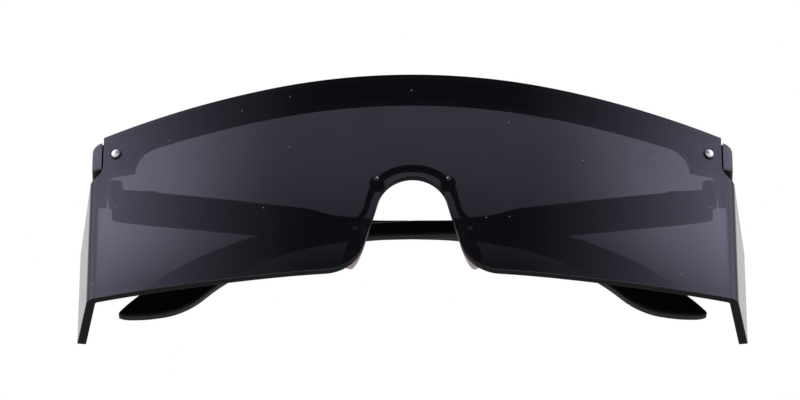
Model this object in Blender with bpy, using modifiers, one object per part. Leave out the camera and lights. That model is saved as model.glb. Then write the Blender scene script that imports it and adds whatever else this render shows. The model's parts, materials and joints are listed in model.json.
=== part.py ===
# Wraparound sunglasses: a one-piece smoke shield lens with side wings, a black brow frame behind
# its top edge, a nose bridge with rocking pads, and two folding temples on small steel hinges.
# Metres. +X is the wearer's left, -Y is forwards out of the lens, +Z is up. The glasses are
# folded, as they are put away, and stand on the straight lower edge of the lens.
import math

import bmesh
import bpy
from mathutils import Vector

# Lens: plan curve of the front, heat-bent creases and side wings
LENS_THICKNESS = 0.0020
CENTRE_RADIUS = 0.140
CENTRE_HALF_WIDTH = 0.030
SIDE_RADIUS = 0.260
CREASE_HALF_WIDTH = 0.0684
CREASE_RADIUS = 0.0030
WING_ANGLE = math.radians(80.8)
WING_LENGTH = 0.0198
# Lens: outline seen from the front and from the side
LENS_HEIGHT = 0.0470
TOP_EDGE_RADIUS = 0.298
NOTCH_INSET = 0.0009
NOTCH_DROP = 0.0173
NOTCH_FILLET = 0.0025
WING_REAR_DROP = 0.0078
NOSE_ARCH_HEIGHT = 0.0219
NOSE_ARCH_RADIUS = 0.0076
NOSE_SIDE_LEAN = math.radians(16)
NOSE_CORNER_RADIUS = 0.0085
# Brow frame: bar behind the lens, corner plates, and the end blocks that carry the hinges
BROW_DEPTH = 0.0030
BROW_HEIGHT = 0.0055
BROW_EDGE_RADIUS = 0.320
BROW_FILLET = 0.0042
CORNER_PLATE_WIDTH = 0.0098
BLOCK_PAD_WIDTH = 0.0025
BLOCK_LENGTH = 0.0125
BLOCK_SET_BACK = 0.0008
BLOCK_LIFT = 0.0015
BLOCK_TOP_DROP = 0.0024
BLOCK_BOTTOM_DROP = 0.0029
BLOCK_EDGE_RADIUS = 0.0023
# Hinges
HINGE_LIFT = 0.0026
HINGE_SET_BACK = 0.00115
HINGE_CANT = math.radians(0.78)
KNUCKLE_RADIUS = 0.0015
KNUCKLE_HEIGHT = 0.0019
KNUCKLE_GAP = 0.00015
HINGE_SCREW_RADIUS = 0.00055
HINGE_HEAD_RADIUS = 0.0010
HINGE_HEAD_HEIGHT = 0.0006
LEAF_THICKNESS = 0.0006
LEAF_LENGTH = 0.0072
TEMPLE_LEAF_RISE = 0.0015
LEAF_CLEARANCE = 0.0003
STAKE_RADIUS = 0.00045
STAKE_LENGTH = 0.0011
STAKE_CLEARANCE = 0.00015
STAKE_SHARES = (0.30, 0.74)
# Temples
TEMPLE_THICKNESS = 0.0030
TEMPLE_END_ROOM = 0.0068
TEMPLE_ROOT_RISE = 0.0026
TEMPLE_ROOT_DROP = 0.0041
TEMPLE_EDGE = 0.0006
FOLD_OFFSET_ANGLE = math.radians(1.5)
# Corner screws, their bushes and cap nuts
CORNER_SCREW_INSET = 0.0028
CORNER_SCREW_SHARE = 0.49
CORNER_SHANK_RADIUS = 0.00070
CORNER_HEAD_RADIUS = 0.00105
CORNER_HEAD_HEIGHT = 0.00055
BUSH_RADIUS = 0.00110
BUSH_FLANGE_RADIUS = 0.00130
BUSH_FLANGE_HEIGHT = 0.00030
CAP_NUT_RADIUS = 0.0015
CAP_NUT_HEIGHT = 0.0013
HARDWARE_CLEARANCE = 0.0001
# Nose bridge and its screws
BRIDGE_WIRE_RADIUS = 0.00080
BRIDGE_RISE = 0.0038
BRIDGE_ARM_SHARE = 0.75
LUG_RADIUS = 0.0016
LUG_THICKNESS = 0.0017
NOSE_SCREW_INSET = 0.00015
NOSE_SCREW_DROP = 0.0006
NOSE_SHANK_RADIUS = 0.00035
NOSE_HEAD_RADIUS = 0.00050
NOSE_HEAD_HEIGHT = 0.00035
NOSE_SHANK_LENGTH = 0.0034
# Nose pads: places of the pad screw from the nose screw, then the pad, its core and its box
ARM_SPREAD = 0.00535
ARM_DEPTH = 0.0091
ARM_DROP = 0.0084
PAD_LEAN = math.radians(17)
PAD_SPLAY = math.radians(25)
PAD_HALF_WIDTH = 0.0034
PAD_HALF_HEIGHT = 0.0055
PAD_THICKNESS = 0.0024
PAD_EDGE = 0.0007
PAD_DROP = 0.0028
CORE_HALF_WIDTH = 0.0012
CORE_HALF_HEIGHT = 0.0042
CORE_THICKNESS = 0.0007
CORE_TAB_RADIUS = 0.0009
CORE_TAB_THICKNESS = 0.0008
POCKET_CLEARANCE = 0.0002
BOX_WIDTH = 0.0019
BOX_DEPTH = 0.0026
BOX_HEIGHT = 0.0026
BOX_WALL = 0.0006
PAD_SCREW_RADIUS = 0.00028
PAD_SCREW_HEAD_RADIUS = 0.00055
PAD_SCREW_HEAD_HEIGHT = 0.00030
PAD_CLEARANCE = 0.0003
# Shared
SEAT_GAP = 0.0002
CUT_OVERRUN = 0.0040
ROUND_STEPS = 20
EDGE_STEPS = 3
BRIDGE_ROUND_STEPS = 2

# Places that follow from the sizes. Half widths are measured from the centre line, and depths from
# the foremost point of the lens.
NOTCH_HALF_WIDTH = CREASE_HALF_WIDTH - NOTCH_INSET
NOTCH_HEIGHT = LENS_HEIGHT - NOTCH_DROP
WING_REAR_HEIGHT = NOTCH_HEIGHT - WING_REAR_DROP
BLOCK_OUTER_HALF_WIDTH = NOTCH_HALF_WIDTH + BLOCK_PAD_WIDTH
BLOCK_LOW_HEIGHT = NOTCH_HEIGHT + BLOCK_LIFT
CORNER_SCREW_HALF_SPACING = NOTCH_HALF_WIDTH - CORNER_SCREW_INSET
NOSE_SCREW_HALF_SPACING = NOSE_ARCH_RADIUS + NOSE_SCREW_INSET
NOSE_SCREW_HEIGHT = NOSE_ARCH_HEIGHT - NOSE_SCREW_DROP
HINGE_BORE_RADIUS = HINGE_SCREW_RADIUS + HARDWARE_CLEARANCE
HINGE_CENTRE_HEIGHT = NOTCH_HEIGHT + HINGE_LIFT
# The leaf's outer face is tangent to the knuckles, and the block and temple lie just outside it
LEAF_OUTER = KNUCKLE_RADIUS
LEAF_INNER = LEAF_OUTER - LEAF_THICKNESS
WALL_INNER = LEAF_OUTER + LEAF_CLEARANCE
HINGE_HALF_SPACING = BLOCK_OUTER_HALF_WIDTH - TEMPLE_THICKNESS - WALL_INNER
TEMPLE_LEAD = HINGE_SET_BACK - LEAF_CLEARANCE
# A folded temple lies across the back of the lens and stops short of the far wing
TEMPLE_LENGTH = 2 * CREASE_HALF_WIDTH - TEMPLE_END_ROOM
FRAME_DEPTH = LENS_THICKNESS + SEAT_GAP
PAD_PIVOT_HALF_SPACING = NOSE_SCREW_HALF_SPACING + ARM_SPREAD
PAD_PIVOT_HEIGHT = NOSE_SCREW_HEIGHT - ARM_DROP
# The pad's outer face clears the box's inner face, measured from the pad screw towards the nose
BOX_FRONT_SHARE = 0.26
BOX_FRONT = BOX_WIDTH * BOX_FRONT_SHARE
PAD_FACE = BOX_FRONT + PAD_CLEARANCE

for old in list(bpy.data.objects):
    bpy.data.objects.remove(old, do_unlink=True)

parts = bpy.data.collections.new("wraparound_sunglasses")
cutters = bpy.data.collections.new("cutters")
bpy.context.scene.collection.children.link(parts)
bpy.context.scene.collection.children.link(cutters)


def material(name, colour, roughness, metallic=0.0, alpha=1.0):
    made = bpy.data.materials.new(name)
    made.use_nodes = True
    shader = made.node_tree.nodes["Principled BSDF"]
    shader.inputs["Base Color"].default_value = (*colour, 1.0)
    shader.inputs["Roughness"].default_value = roughness
    shader.inputs["Metallic"].default_value = metallic
    shader.inputs["Alpha"].default_value = alpha
    return made


SMOKE_LENS = material("smoke_lens", (0.045, 0.042, 0.055), 0.06, alpha=0.55)
BLACK_FRAME = material("black_frame", (0.012, 0.012, 0.013), 0.32)
BLACK_BUSH = material("black_bush", (0.010, 0.010, 0.010), 0.50)
POLISHED_STEEL = material("polished_steel", (0.72, 0.71, 0.70), 0.16, metallic=1.0)
HINGE_STEEL = material("hinge_steel", (0.30, 0.30, 0.31), 0.34, metallic=1.0)
CLEAR_PAD = material("clear_pad", (0.78, 0.66, 0.66), 0.28, alpha=0.7)
PAD_CORE = material("pad_core", (0.05, 0.05, 0.05), 0.40)


# The lens curve in plan. An angle says how far round the front a point lies, and the depth is
# how far behind the front surface it lies.
side_start = math.asin(CENTRE_HALF_WIDTH / CENTRE_RADIUS)
side_centre_x = CENTRE_HALF_WIDTH - SIDE_RADIUS * math.sin(side_start)
side_centre_y = CENTRE_RADIUS * (1 - math.cos(side_start)) + SIDE_RADIUS * math.cos(side_start)


def plan_point(angle, depth):
    turn = abs(angle)
    if turn <= side_start:
        x = (CENTRE_RADIUS - depth) * math.sin(turn)
        y = CENTRE_RADIUS - (CENTRE_RADIUS - depth) * math.cos(turn)
    else:
        x = side_centre_x + (SIDE_RADIUS - depth) * math.sin(turn)
        y = side_centre_y - (SIDE_RADIUS - depth) * math.cos(turn)
    return (math.copysign(x, angle), y)


def plan_angle(half_width, depth=0.0):
    if half_width <= CENTRE_HALF_WIDTH:
        return math.asin(half_width / (CENTRE_RADIUS - depth))
    return math.asin((half_width - side_centre_x) / (SIDE_RADIUS - depth))


def spread(start, end, count):
    return [start + (end - start) * i / count for i in range(count + 1)]


def plan_run(start, end, depth, count):
    return [plan_point(angle, depth) for angle in spread(start, end, count)]


def arc(centre_x, centre_y, radius, start, end, count):
    return [
        (centre_x + radius * math.cos(turn), centre_y + radius * math.sin(turn))
        for turn in spread(start, end, count)
    ]


crease_angle = plan_angle(CREASE_HALF_WIDTH)
top_centre_height = LENS_HEIGHT - TOP_EDGE_RADIUS
wing_rear_depth = (
    plan_point(crease_angle, CREASE_RADIUS)[1]
    - CREASE_RADIUS * math.cos(WING_ANGLE)
    + WING_LENGTH * math.sin(WING_ANGLE)
)
block_front_depth = plan_point(plan_angle(NOTCH_HALF_WIDTH), 0)[1] + BLOCK_SET_BACK
block_rear_depth = block_front_depth + BLOCK_LENGTH
hinge_depth = block_rear_depth + HINGE_SET_BACK
# The glasses stand centred from front to back. The nose screws reach furthest forwards, and the
# wings or the tip of the folded right temple furthest back.
nose_screw_depth = plan_point(plan_angle(NOSE_SCREW_HALF_SPACING), 0)[1]
screw_reach = NOSE_HEAD_HEIGHT + HARDWARE_CLEARANCE - nose_screw_depth
temple_rear_depth = (
    hinge_depth
    + (WALL_INNER + TEMPLE_THICKNESS) * math.cos(FOLD_OFFSET_ANGLE)
    + TEMPLE_LENGTH * math.sin(FOLD_OFFSET_ANGLE)
)
lens_front_y = (max(screw_reach, 0) - max(wing_rear_depth, temple_rear_depth)) / 2

# Everything hangs from this empty, which stands at the foremost point of the lens
glasses = bpy.data.objects.new("sunglasses", None)
parts.objects.link(glasses)
glasses.location = (0, lens_front_y, 0)


def empty(name, location, rotation, parent=None):
    made = bpy.data.objects.new(name, None)
    parts.objects.link(made)
    made.parent = parent or glasses
    made.location = location
    made.rotation_euler = rotation
    return made


def place(obj, parent, location=(0, 0, 0), rotation=(0, 0, 0), finish=None):
    for used in list(obj.users_collection):
        used.objects.unlink(obj)
    (parts if finish else cutters).objects.link(obj)
    obj.parent = parent or glasses
    obj.location = location
    obj.rotation_euler = rotation
    if finish:
        obj.data.materials.append(finish)
    else:
        obj.hide_render = True
        obj.display_type = "WIRE"
    return obj


# Closed outlines are filled 2D curves, turned so that they are drawn in the named plane
PLANES = {
    "xy": (0, 0, 0),
    "xz": (math.pi / 2, 0, 0),
    "yz": (math.pi / 2, 0, math.pi / 2),
}


def slab(name, outline, plane, low, high, parent=None, finish=None):
    curve = bpy.data.curves.new(name, "CURVE")
    curve.dimensions = "2D"
    curve.fill_mode = "BOTH"
    curve.extrude = (high - low) / 2
    line = curve.splines.new("POLY")
    line.points.add(len(outline) - 1)
    for point, (across, up) in zip(line.points, outline):
        point.co = (across, up, 0, 1)
    line.use_cyclic_u = True
    drawn = bpy.data.objects.new(name + "_outline", curve)
    made = as_mesh(drawn, name)
    centre = (low + high) / 2
    offset = {"xy": (0, 0, centre), "xz": (0, centre, 0), "yz": (centre, 0, 0)}[plane]
    return place(made, parent, offset, PLANES[plane], finish)


def as_mesh(drawn, name):
    bpy.context.scene.collection.objects.link(drawn)
    bpy.context.view_layer.update()
    evaluated = drawn.evaluated_get(bpy.context.evaluated_depsgraph_get())
    mesh = bpy.data.meshes.new_from_object(evaluated)
    bpy.data.objects.remove(drawn, do_unlink=True)
    work = bmesh.new()
    work.from_mesh(mesh)
    bmesh.ops.remove_doubles(work, verts=work.verts, dist=SEAT_GAP / 100)
    bmesh.ops.recalc_face_normals(work, faces=work.faces)
    work.to_mesh(mesh)
    work.free()
    return bpy.data.objects.new(name, mesh)


def box(name, low, high, parent=None, finish=None):
    mesh = bpy.data.meshes.new(name)
    work = bmesh.new()
    bmesh.ops.create_cube(work, size=1)
    size = [b - a for a, b in zip(low, high)]
    centre = [(a + b) / 2 for a, b in zip(low, high)]
    bmesh.ops.scale(work, vec=size, verts=work.verts)
    work.to_mesh(mesh)
    work.free()
    return place(bpy.data.objects.new(name, mesh), parent, centre, (0, 0, 0), finish)


def rod(name, radius, low, high, parent=None, axis="z", centre=(0, 0, 0), finish=None):
    mesh = bpy.data.meshes.new(name)
    work = bmesh.new()
    bmesh.ops.create_cone(
        work, cap_ends=True, segments=ROUND_STEPS, radius1=radius, radius2=radius, depth=high - low
    )
    work.to_mesh(mesh)
    work.free()
    turn = {"x": (0, math.pi / 2, 0), "y": (-math.pi / 2, 0, 0), "z": (0, 0, 0)}[axis]
    along = Vector({"x": (1, 0, 0), "y": (0, 1, 0), "z": (0, 0, 1)}[axis])
    spot = Vector(centre) + along * (low + high) / 2
    return place(bpy.data.objects.new(name, mesh), parent, spot, turn, finish)


# Turned pieces: a profile of (radius, height) pairs, from the top on the axis down the outside
def turned(name, profile, parent, finish):
    mesh = bpy.data.meshes.new(name)
    edges = [(i, i + 1) for i in range(len(profile) - 1)]
    mesh.from_pydata([(radius, 0, height) for radius, height in profile], edges, [])
    made = place(bpy.data.objects.new(name, mesh), parent, finish=finish)
    screw = made.modifiers.new("turn", "SCREW")
    screw.angle = math.tau
    screw.steps = ROUND_STEPS
    screw.render_steps = ROUND_STEPS
    screw.use_merge_vertices = True
    screw.merge_threshold = SEAT_GAP / 100
    return made


def join(target, other, operation="UNION"):
    step = target.modifiers.new(operation.lower() + "_" + other.name, "BOOLEAN")
    step.operation = operation
    step.object = other
    step.solver = "EXACT"
    return target


def soften(target, width, segments=2, angle=math.radians(30)):
    step = target.modifiers.new("soft_edges", "BEVEL")
    step.width = width
    step.segments = segments
    step.limit_method = "ANGLE"
    step.angle_limit = angle
    return target


def top_edge_height(x):
    return top_centre_height + math.sqrt(TOP_EDGE_RADIUS**2 - x**2)


# A smooth curve through all of an edge's points (Catmull-Rom), with new points between each pair
def smooth(points, count):
    ends = [points[0]] + points + [points[-1]]
    curve = []
    for before, start, end, after in zip(ends, ends[1:], ends[2:], ends[3:]):
        for share in spread(0, 1, count)[:-1]:
            curve.append(tuple(
                0.5 * (
                    2 * b + (c - a) * share
                    + (2 * a - 5 * b + 4 * c - d) * share**2
                    + (3 * b - a - 3 * c + d) * share**3
                )
                for a, b, c, d in zip(before, start, end, after)
            ))
    return curve + [points[-1]]


# The lens: its wall in plan, cut to its outline from the front and from the side
def lens_wall():
    def half(depth):
        front = plan_run(0, crease_angle, depth, 22)
        bend_x, bend_y = plan_point(crease_angle, CREASE_RADIUS)
        bend = arc(
            bend_x, bend_y, CREASE_RADIUS - depth,
            crease_angle - math.pi / 2, WING_ANGLE - math.pi / 2, 7,
        )
        last_x, last_y = bend[-1]
        rear = (last_x + WING_LENGTH * math.cos(WING_ANGLE), last_y + WING_LENGTH * math.sin(WING_ANGLE))
        return front + bend[1:] + [rear]

    outer = half(0.0)
    inner = half(LENS_THICKNESS)
    outer_line = [(-x, y) for x, y in reversed(outer[1:])] + outer
    inner_line = [(-x, y) for x, y in reversed(inner[1:])] + inner
    return outer_line + inner_line[::-1]


def lens_front_outline():
    notch_top = top_edge_height(NOTCH_HALF_WIDTH)
    far = CREASE_HALF_WIDTH + WING_LENGTH
    arch_centre = NOSE_ARCH_HEIGHT - NOSE_ARCH_RADIUS
    arch = arc(0, arch_centre, NOSE_ARCH_RADIUS, math.pi / 2, NOSE_SIDE_LEAN, 8)
    # The side of the nose cut leans outwards and meets the lower edge in a large round
    side_x, side_z = arch[-1]
    foot_x = side_x + side_z * math.tan(NOSE_SIDE_LEAN)
    tangent = NOSE_CORNER_RADIUS * math.tan((math.pi / 2 - NOSE_SIDE_LEAN) / 2)
    corner = arc(
        foot_x + tangent, NOSE_CORNER_RADIUS, NOSE_CORNER_RADIUS,
        math.pi + NOSE_SIDE_LEAN, math.pi * 1.5, 7,
    )
    lower = arch + corner + [(far, 0)]
    fillet = arc(
        NOTCH_HALF_WIDTH + NOTCH_FILLET, NOTCH_HEIGHT + NOTCH_FILLET, NOTCH_FILLET,
        math.pi * 1.5, math.pi, 5,
    )
    top = [(x, top_edge_height(x)) for x in spread(NOTCH_HALF_WIDTH, 0, 18)]
    half = lower + [(far, NOTCH_HEIGHT)] + fillet + [(NOTCH_HALF_WIDTH, notch_top)] + top[1:-1]
    left = [(-x, up) for x, up in reversed(half[1:])]
    return half + [(0, LENS_HEIGHT)] + left


# The wing's top edge falls from the crease to its rear corner
def wing_cut_outline():
    crease_y = plan_point(crease_angle, 0)[1]
    rear_y = wing_rear_depth
    tall = LENS_HEIGHT + CUT_OVERRUN
    fall = (NOTCH_HEIGHT - WING_REAR_HEIGHT) / (rear_y - crease_y)
    beyond = rear_y + CUT_OVERRUN
    return [
        (crease_y, NOTCH_HEIGHT),
        (beyond, WING_REAR_HEIGHT - fall * CUT_OVERRUN),
        (beyond, tall),
        (crease_y, tall),
    ]


def make_lens():
    lens = slab("lens_shield", lens_wall(), "xy", 0, LENS_HEIGHT + CUT_OVERRUN, finish=SMOKE_LENS)
    front = slab(
        "lens_outline", lens_front_outline(), "xz", -CUT_OVERRUN, wing_rear_depth + CUT_OVERRUN
    )
    join(lens, front, "INTERSECT")
    reach = CREASE_HALF_WIDTH + WING_LENGTH
    for side in (1, -1):
        low, high = sorted((side * NOTCH_HALF_WIDTH, side * reach))
        cut = slab("wing_slope_" + SIDE_NAME[side], wing_cut_outline(), "yz", low, high)
        join(lens, cut, "DIFFERENCE")
        bore = rod(
            "lens_corner_hole_" + SIDE_NAME[side], BUSH_RADIUS + HARDWARE_CLEARANCE,
            -LENS_THICKNESS - CUT_OVERRUN, CUT_OVERRUN, corner_axis[side],
        )
        join(lens, bore, "DIFFERENCE")
        bore = rod(
            "lens_nose_hole_" + SIDE_NAME[side], NOSE_SHANK_RADIUS + HARDWARE_CLEARANCE,
            -LENS_THICKNESS - CUT_OVERRUN, CUT_OVERRUN, nose_axis[side],
        )
        join(lens, bore, "DIFFERENCE")
    return lens


# Left and right are the wearer's: +X is left
SIDE_NAME = {1: "left", -1: "right"}


# A screw's empty sits on the lens's front surface with its +Z along the outward normal
def surface_axis(name, half_width, height, side):
    angle = plan_angle(half_width)
    x, y = plan_point(angle, 0)
    return empty(name + SIDE_NAME[side], (side * x, y, height), (math.pi / 2, 0, side * angle))


corner_height = top_edge_height(CORNER_SCREW_HALF_SPACING) - NOTCH_HEIGHT
corner_screw_height = NOTCH_HEIGHT + corner_height * CORNER_SCREW_SHARE
corner_axis = {
    side: surface_axis("corner_axis_", CORNER_SCREW_HALF_SPACING, corner_screw_height, side)
    for side in (1, -1)
}
nose_axis = {
    side: surface_axis("nose_axis_", NOSE_SCREW_HALF_SPACING, NOSE_SCREW_HEIGHT, side)
    for side in (1, -1)
}
# Both hinge axes lean a little to one side, so that the folded left temple dips and the right one,
# which folds over it, rises: the two cross at one height
hinge_axis = {
    side: empty(
        "hinge_axis_" + SIDE_NAME[side],
        (side * HINGE_HALF_SPACING, hinge_depth, HINGE_CENTRE_HEIGHT),
        (0, -HINGE_CANT, 0),
    )
    for side in (1, -1)
}
# The left temple folds first and lies nearer the lens
fold_angle = {1: math.pi / 2 + FOLD_OFFSET_ANGLE, -1: FOLD_OFFSET_ANGLE - math.pi / 2}
temple_axis = {
    side: empty(
        "temple_axis_" + SIDE_NAME[side], (0, 0, 0), (0, 0, fold_angle[side]), hinge_axis[side]
    )
    for side in (1, -1)
}
pad_axis = {
    side: empty(
        "pad_axis_" + SIDE_NAME[side],
        (side * PAD_PIVOT_HALF_SPACING, ARM_DEPTH, PAD_PIVOT_HEIGHT),
        (0, -side * PAD_LEAN, -side * PAD_SPLAY),
    )
    for side in (1, -1)
}

# The end block runs back from just behind the lens's corner to the hinge
block_inner_half_width = HINGE_HALF_SPACING + WALL_INNER


def brow_outline():
    end = BLOCK_OUTER_HALF_WIDTH - SEAT_GAP
    plate_inner = BLOCK_OUTER_HALF_WIDTH - CORNER_PLATE_WIDTH
    low_centre = LENS_HEIGHT - BROW_HEIGHT - BROW_EDGE_RADIUS

    def low_edge(x):
        return low_centre + math.sqrt(BROW_EDGE_RADIUS**2 - x**2)

    bend_x = plate_inner - BROW_FILLET
    bend_z = low_edge(bend_x) - BROW_FILLET
    fillet = arc(bend_x, bend_z, BROW_FILLET, math.pi / 2, 0, 6)
    low = [(x, low_edge(x)) for x in spread(0, bend_x, 12)]
    top = [(x, top_edge_height(x) - SEAT_GAP) for x in spread(end, 0, 16)]
    half = low[:-1] + fillet + [(plate_inner, BLOCK_LOW_HEIGHT), (end, BLOCK_LOW_HEIGHT)] + top[:-1]
    left = [(-x, up) for x, up in reversed(half[1:])]
    return half + [(0, LENS_HEIGHT - SEAT_GAP)] + left


def block_top():
    return top_edge_height(BLOCK_OUTER_HALF_WIDTH)


def add_end_block(frame, side):
    name = SIDE_NAME[side]
    low, high = sorted((side * block_inner_half_width, side * BLOCK_OUTER_HALF_WIDTH))
    profile = [
        (block_front_depth, BLOCK_LOW_HEIGHT),
        (block_rear_depth, BLOCK_LOW_HEIGHT - BLOCK_BOTTOM_DROP),
        (block_rear_depth, block_top() - BLOCK_TOP_DROP),
        (block_front_depth, block_top()),
    ]
    block = slab("end_block_" + name, profile, "yz", low, high)
    # The top outer edge is rounded, as seen from the front
    shoulder = arc(
        BLOCK_OUTER_HALF_WIDTH - BLOCK_EDGE_RADIUS, block_top() - BLOCK_EDGE_RADIUS, BLOCK_EDGE_RADIUS,
        0, math.pi / 2, 5,
    )
    inside = block_inner_half_width - CUT_OVERRUN
    under = BLOCK_LOW_HEIGHT - BLOCK_BOTTOM_DROP - CUT_OVERRUN
    around = [(BLOCK_OUTER_HALF_WIDTH, under)] + shoulder + [(inside, block_top()), (inside, under)]
    around = [(side * x, up) for x, up in around]
    rounder = slab(
        "block_round_" + name, around, "xz",
        block_front_depth - CUT_OVERRUN, block_rear_depth + CUT_OVERRUN,
    )
    join(block, rounder, "INTERSECT")
    # It leaves room for the lens, and a gap all round the lens's corner
    edge = NOTCH_HALF_WIDTH + 2 * SEAT_GAP
    inner_end = plan_angle(edge - CORNER_PLATE_WIDTH, FRAME_DEPTH)
    rear = plan_run(inner_end, plan_angle(edge, FRAME_DEPTH), FRAME_DEPTH, 4)
    room = rear + [(edge, 0), (rear[0][0], 0)]
    room = [(side * x, y) for x, y in room]
    join(block, slab("lens_room_" + name, room, "xy", 0, LENS_HEIGHT + CUT_OVERRUN), "DIFFERENCE")
    for offset in stake_offsets():
        hole = rod(
            "block_stake_hole_" + name, STAKE_RADIUS + STAKE_CLEARANCE,
            side * WALL_INNER - SEAT_GAP if side > 0 else -WALL_INNER - STAKE_LENGTH,
            side * WALL_INNER + STAKE_LENGTH if side > 0 else -WALL_INNER + SEAT_GAP,
            hinge_axis[side], "x", (0, -offset, 0),
        )
        join(block, hole, "DIFFERENCE")
    join(frame, block)


def stake_offsets():
    start = KNUCKLE_RADIUS + LEAF_CLEARANCE
    return [start + LEAF_LENGTH * share for share in STAKE_SHARES]


def make_brow_frame():
    end = plan_angle(BLOCK_OUTER_HALF_WIDTH - SEAT_GAP, FRAME_DEPTH)
    rear_depth = FRAME_DEPTH + BROW_DEPTH
    front = plan_run(-end, end, FRAME_DEPTH, 44)
    rear = plan_run(end, -end, rear_depth, 44)
    frame = slab("brow_frame", front + rear, "xy", 0, LENS_HEIGHT + CUT_OVERRUN, finish=BLACK_FRAME)
    outline = slab("brow_outline", brow_outline(), "xz", -CUT_OVERRUN, block_rear_depth + CUT_OVERRUN)
    join(frame, outline, "INTERSECT")
    for side in (1, -1):
        add_end_block(frame, side)
        bore = rod(
            "frame_corner_hole_" + SIDE_NAME[side], CORNER_SHANK_RADIUS + HARDWARE_CLEARANCE,
            -rear_depth - CUT_OVERRUN, -LENS_THICKNESS, corner_axis[side],
        )
        join(frame, bore, "DIFFERENCE")
    return frame


# Corner hardware, from the outside in: screw, flanged bush, cap nut behind the frame
def make_corner_hardware(side):
    name = SIDE_NAME[side]
    axis = corner_axis[side]
    gap = HARDWARE_CLEARANCE
    flange_top = gap + BUSH_FLANGE_HEIGHT
    seat = flange_top + gap
    top = seat + CORNER_HEAD_HEIGHT
    nut_top = -(FRAME_DEPTH + BROW_DEPTH) - gap
    nut_end = nut_top - CAP_NUT_HEIGHT
    head = [(CORNER_HEAD_RADIUS * share, seat + CORNER_HEAD_HEIGHT * rise) for share, rise in DOME_SHARES]
    shank = [(CORNER_SHANK_RADIUS, seat), (CORNER_SHANK_RADIUS, nut_end), (0, nut_end)]
    screw = [(0, top)] + head + [(CORNER_HEAD_RADIUS, seat)] + shank
    turned("corner_screw_" + name, screw, axis, POLISHED_STEEL)
    bore = CORNER_SHANK_RADIUS + gap
    bush = [
        (bore, flange_top), (BUSH_FLANGE_RADIUS, flange_top), (BUSH_FLANGE_RADIUS, gap),
        (BUSH_RADIUS, gap), (BUSH_RADIUS, -LENS_THICKNESS), (bore, -LENS_THICKNESS), (bore, flange_top),
    ]
    turned("corner_bush_" + name, bush, axis, BLACK_BUSH)
    nut = [
        (bore, nut_top), (CAP_NUT_RADIUS, nut_top), (CAP_NUT_RADIUS, nut_end),
        (bore, nut_end), (bore, nut_top),
    ]
    turned("corner_nut_" + name, nut, axis, POLISHED_STEEL)


# A shallow dome as shares of a head's radius and height
DOME_SHARES = ((0.42, 0.92), (0.76, 0.68), (1.0, 0.25))


# Hinge: two knuckles on the front leaf, one between them on the temple leaf
def add_leaf(leaf, side, direction, knuckles, rise, axis, name):
    drop = KNUCKLE_HEIGHT * 1.5 + KNUCKLE_GAP
    start = KNUCKLE_RADIUS + LEAF_CLEARANCE
    y_low, y_high = sorted((direction * start, direction * (start + LEAF_LENGTH)))
    x_low, x_high = sorted((side * LEAF_INNER, side * LEAF_OUTER))
    plate = box(
        "leaf_plate_" + name,
        (x_low, y_low, -drop),
        (x_high, y_high, rise),
        axis,
    )
    join(leaf, plate)
    for low, high in knuckles:
        neck_low, neck_high = sorted((direction * LEAF_CLEARANCE, direction * (start + LEAF_CLEARANCE)))
        neck = box("leaf_neck_" + name, (x_low, neck_low, low), (x_high, neck_high, high), axis)
        join(leaf, neck)
    for offset in stake_offsets():
        ends = sorted((side * (LEAF_OUTER - LEAF_THICKNESS / 2), side * (LEAF_OUTER + STAKE_LENGTH)))
        stake = rod(
            "stake_" + name, STAKE_RADIUS, ends[0], ends[1], axis, "x",
            (0, direction * offset, 0),
        )
        join(leaf, stake)


def make_hinge(side):
    name = SIDE_NAME[side]
    half = KNUCKLE_HEIGHT / 2
    upper = (half + KNUCKLE_GAP, half + KNUCKLE_GAP + KNUCKLE_HEIGHT)
    lower = (-half - KNUCKLE_GAP - KNUCKLE_HEIGHT, -half - KNUCKLE_GAP)
    front = rod("hinge_front_" + name, KNUCKLE_RADIUS, *upper, hinge_axis[side], finish=HINGE_STEEL)
    join(front, rod("lower_knuckle_" + name, KNUCKLE_RADIUS, *lower, hinge_axis[side]))
    add_leaf(front, side, -1, (upper, lower), upper[1], hinge_axis[side], "front_" + name)
    ends = (lower[0] - SEAT_GAP, upper[1] + SEAT_GAP)
    bore = rod("front_bore_" + name, HINGE_BORE_RADIUS, *ends, hinge_axis[side])
    join(front, bore, "DIFFERENCE")
    centre = (-half, half)
    back = rod("hinge_temple_" + name, KNUCKLE_RADIUS, *centre, temple_axis[side], finish=HINGE_STEEL)
    add_leaf(back, side, 1, (centre,), TEMPLE_LEAF_RISE, temple_axis[side], "temple_" + name)
    ends = (centre[0] - SEAT_GAP, centre[1] + SEAT_GAP)
    bore = rod("temple_bore_" + name, HINGE_BORE_RADIUS, *ends, temple_axis[side])
    join(back, bore, "DIFFERENCE")
    seat = upper[1] + HARDWARE_CLEARANCE
    top = seat + HINGE_HEAD_HEIGHT
    head = [(HINGE_HEAD_RADIUS * share, seat + HINGE_HEAD_HEIGHT * rise) for share, rise in DOME_SHARES]
    shank = [(HINGE_SCREW_RADIUS, seat), (HINGE_SCREW_RADIUS, lower[0]), (0, lower[0])]
    turned(
        "hinge_screw_" + name,
        [(0, top)] + head + [(HINGE_HEAD_RADIUS, seat)] + shank,
        hinge_axis[side], POLISHED_STEEL,
    )


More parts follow.
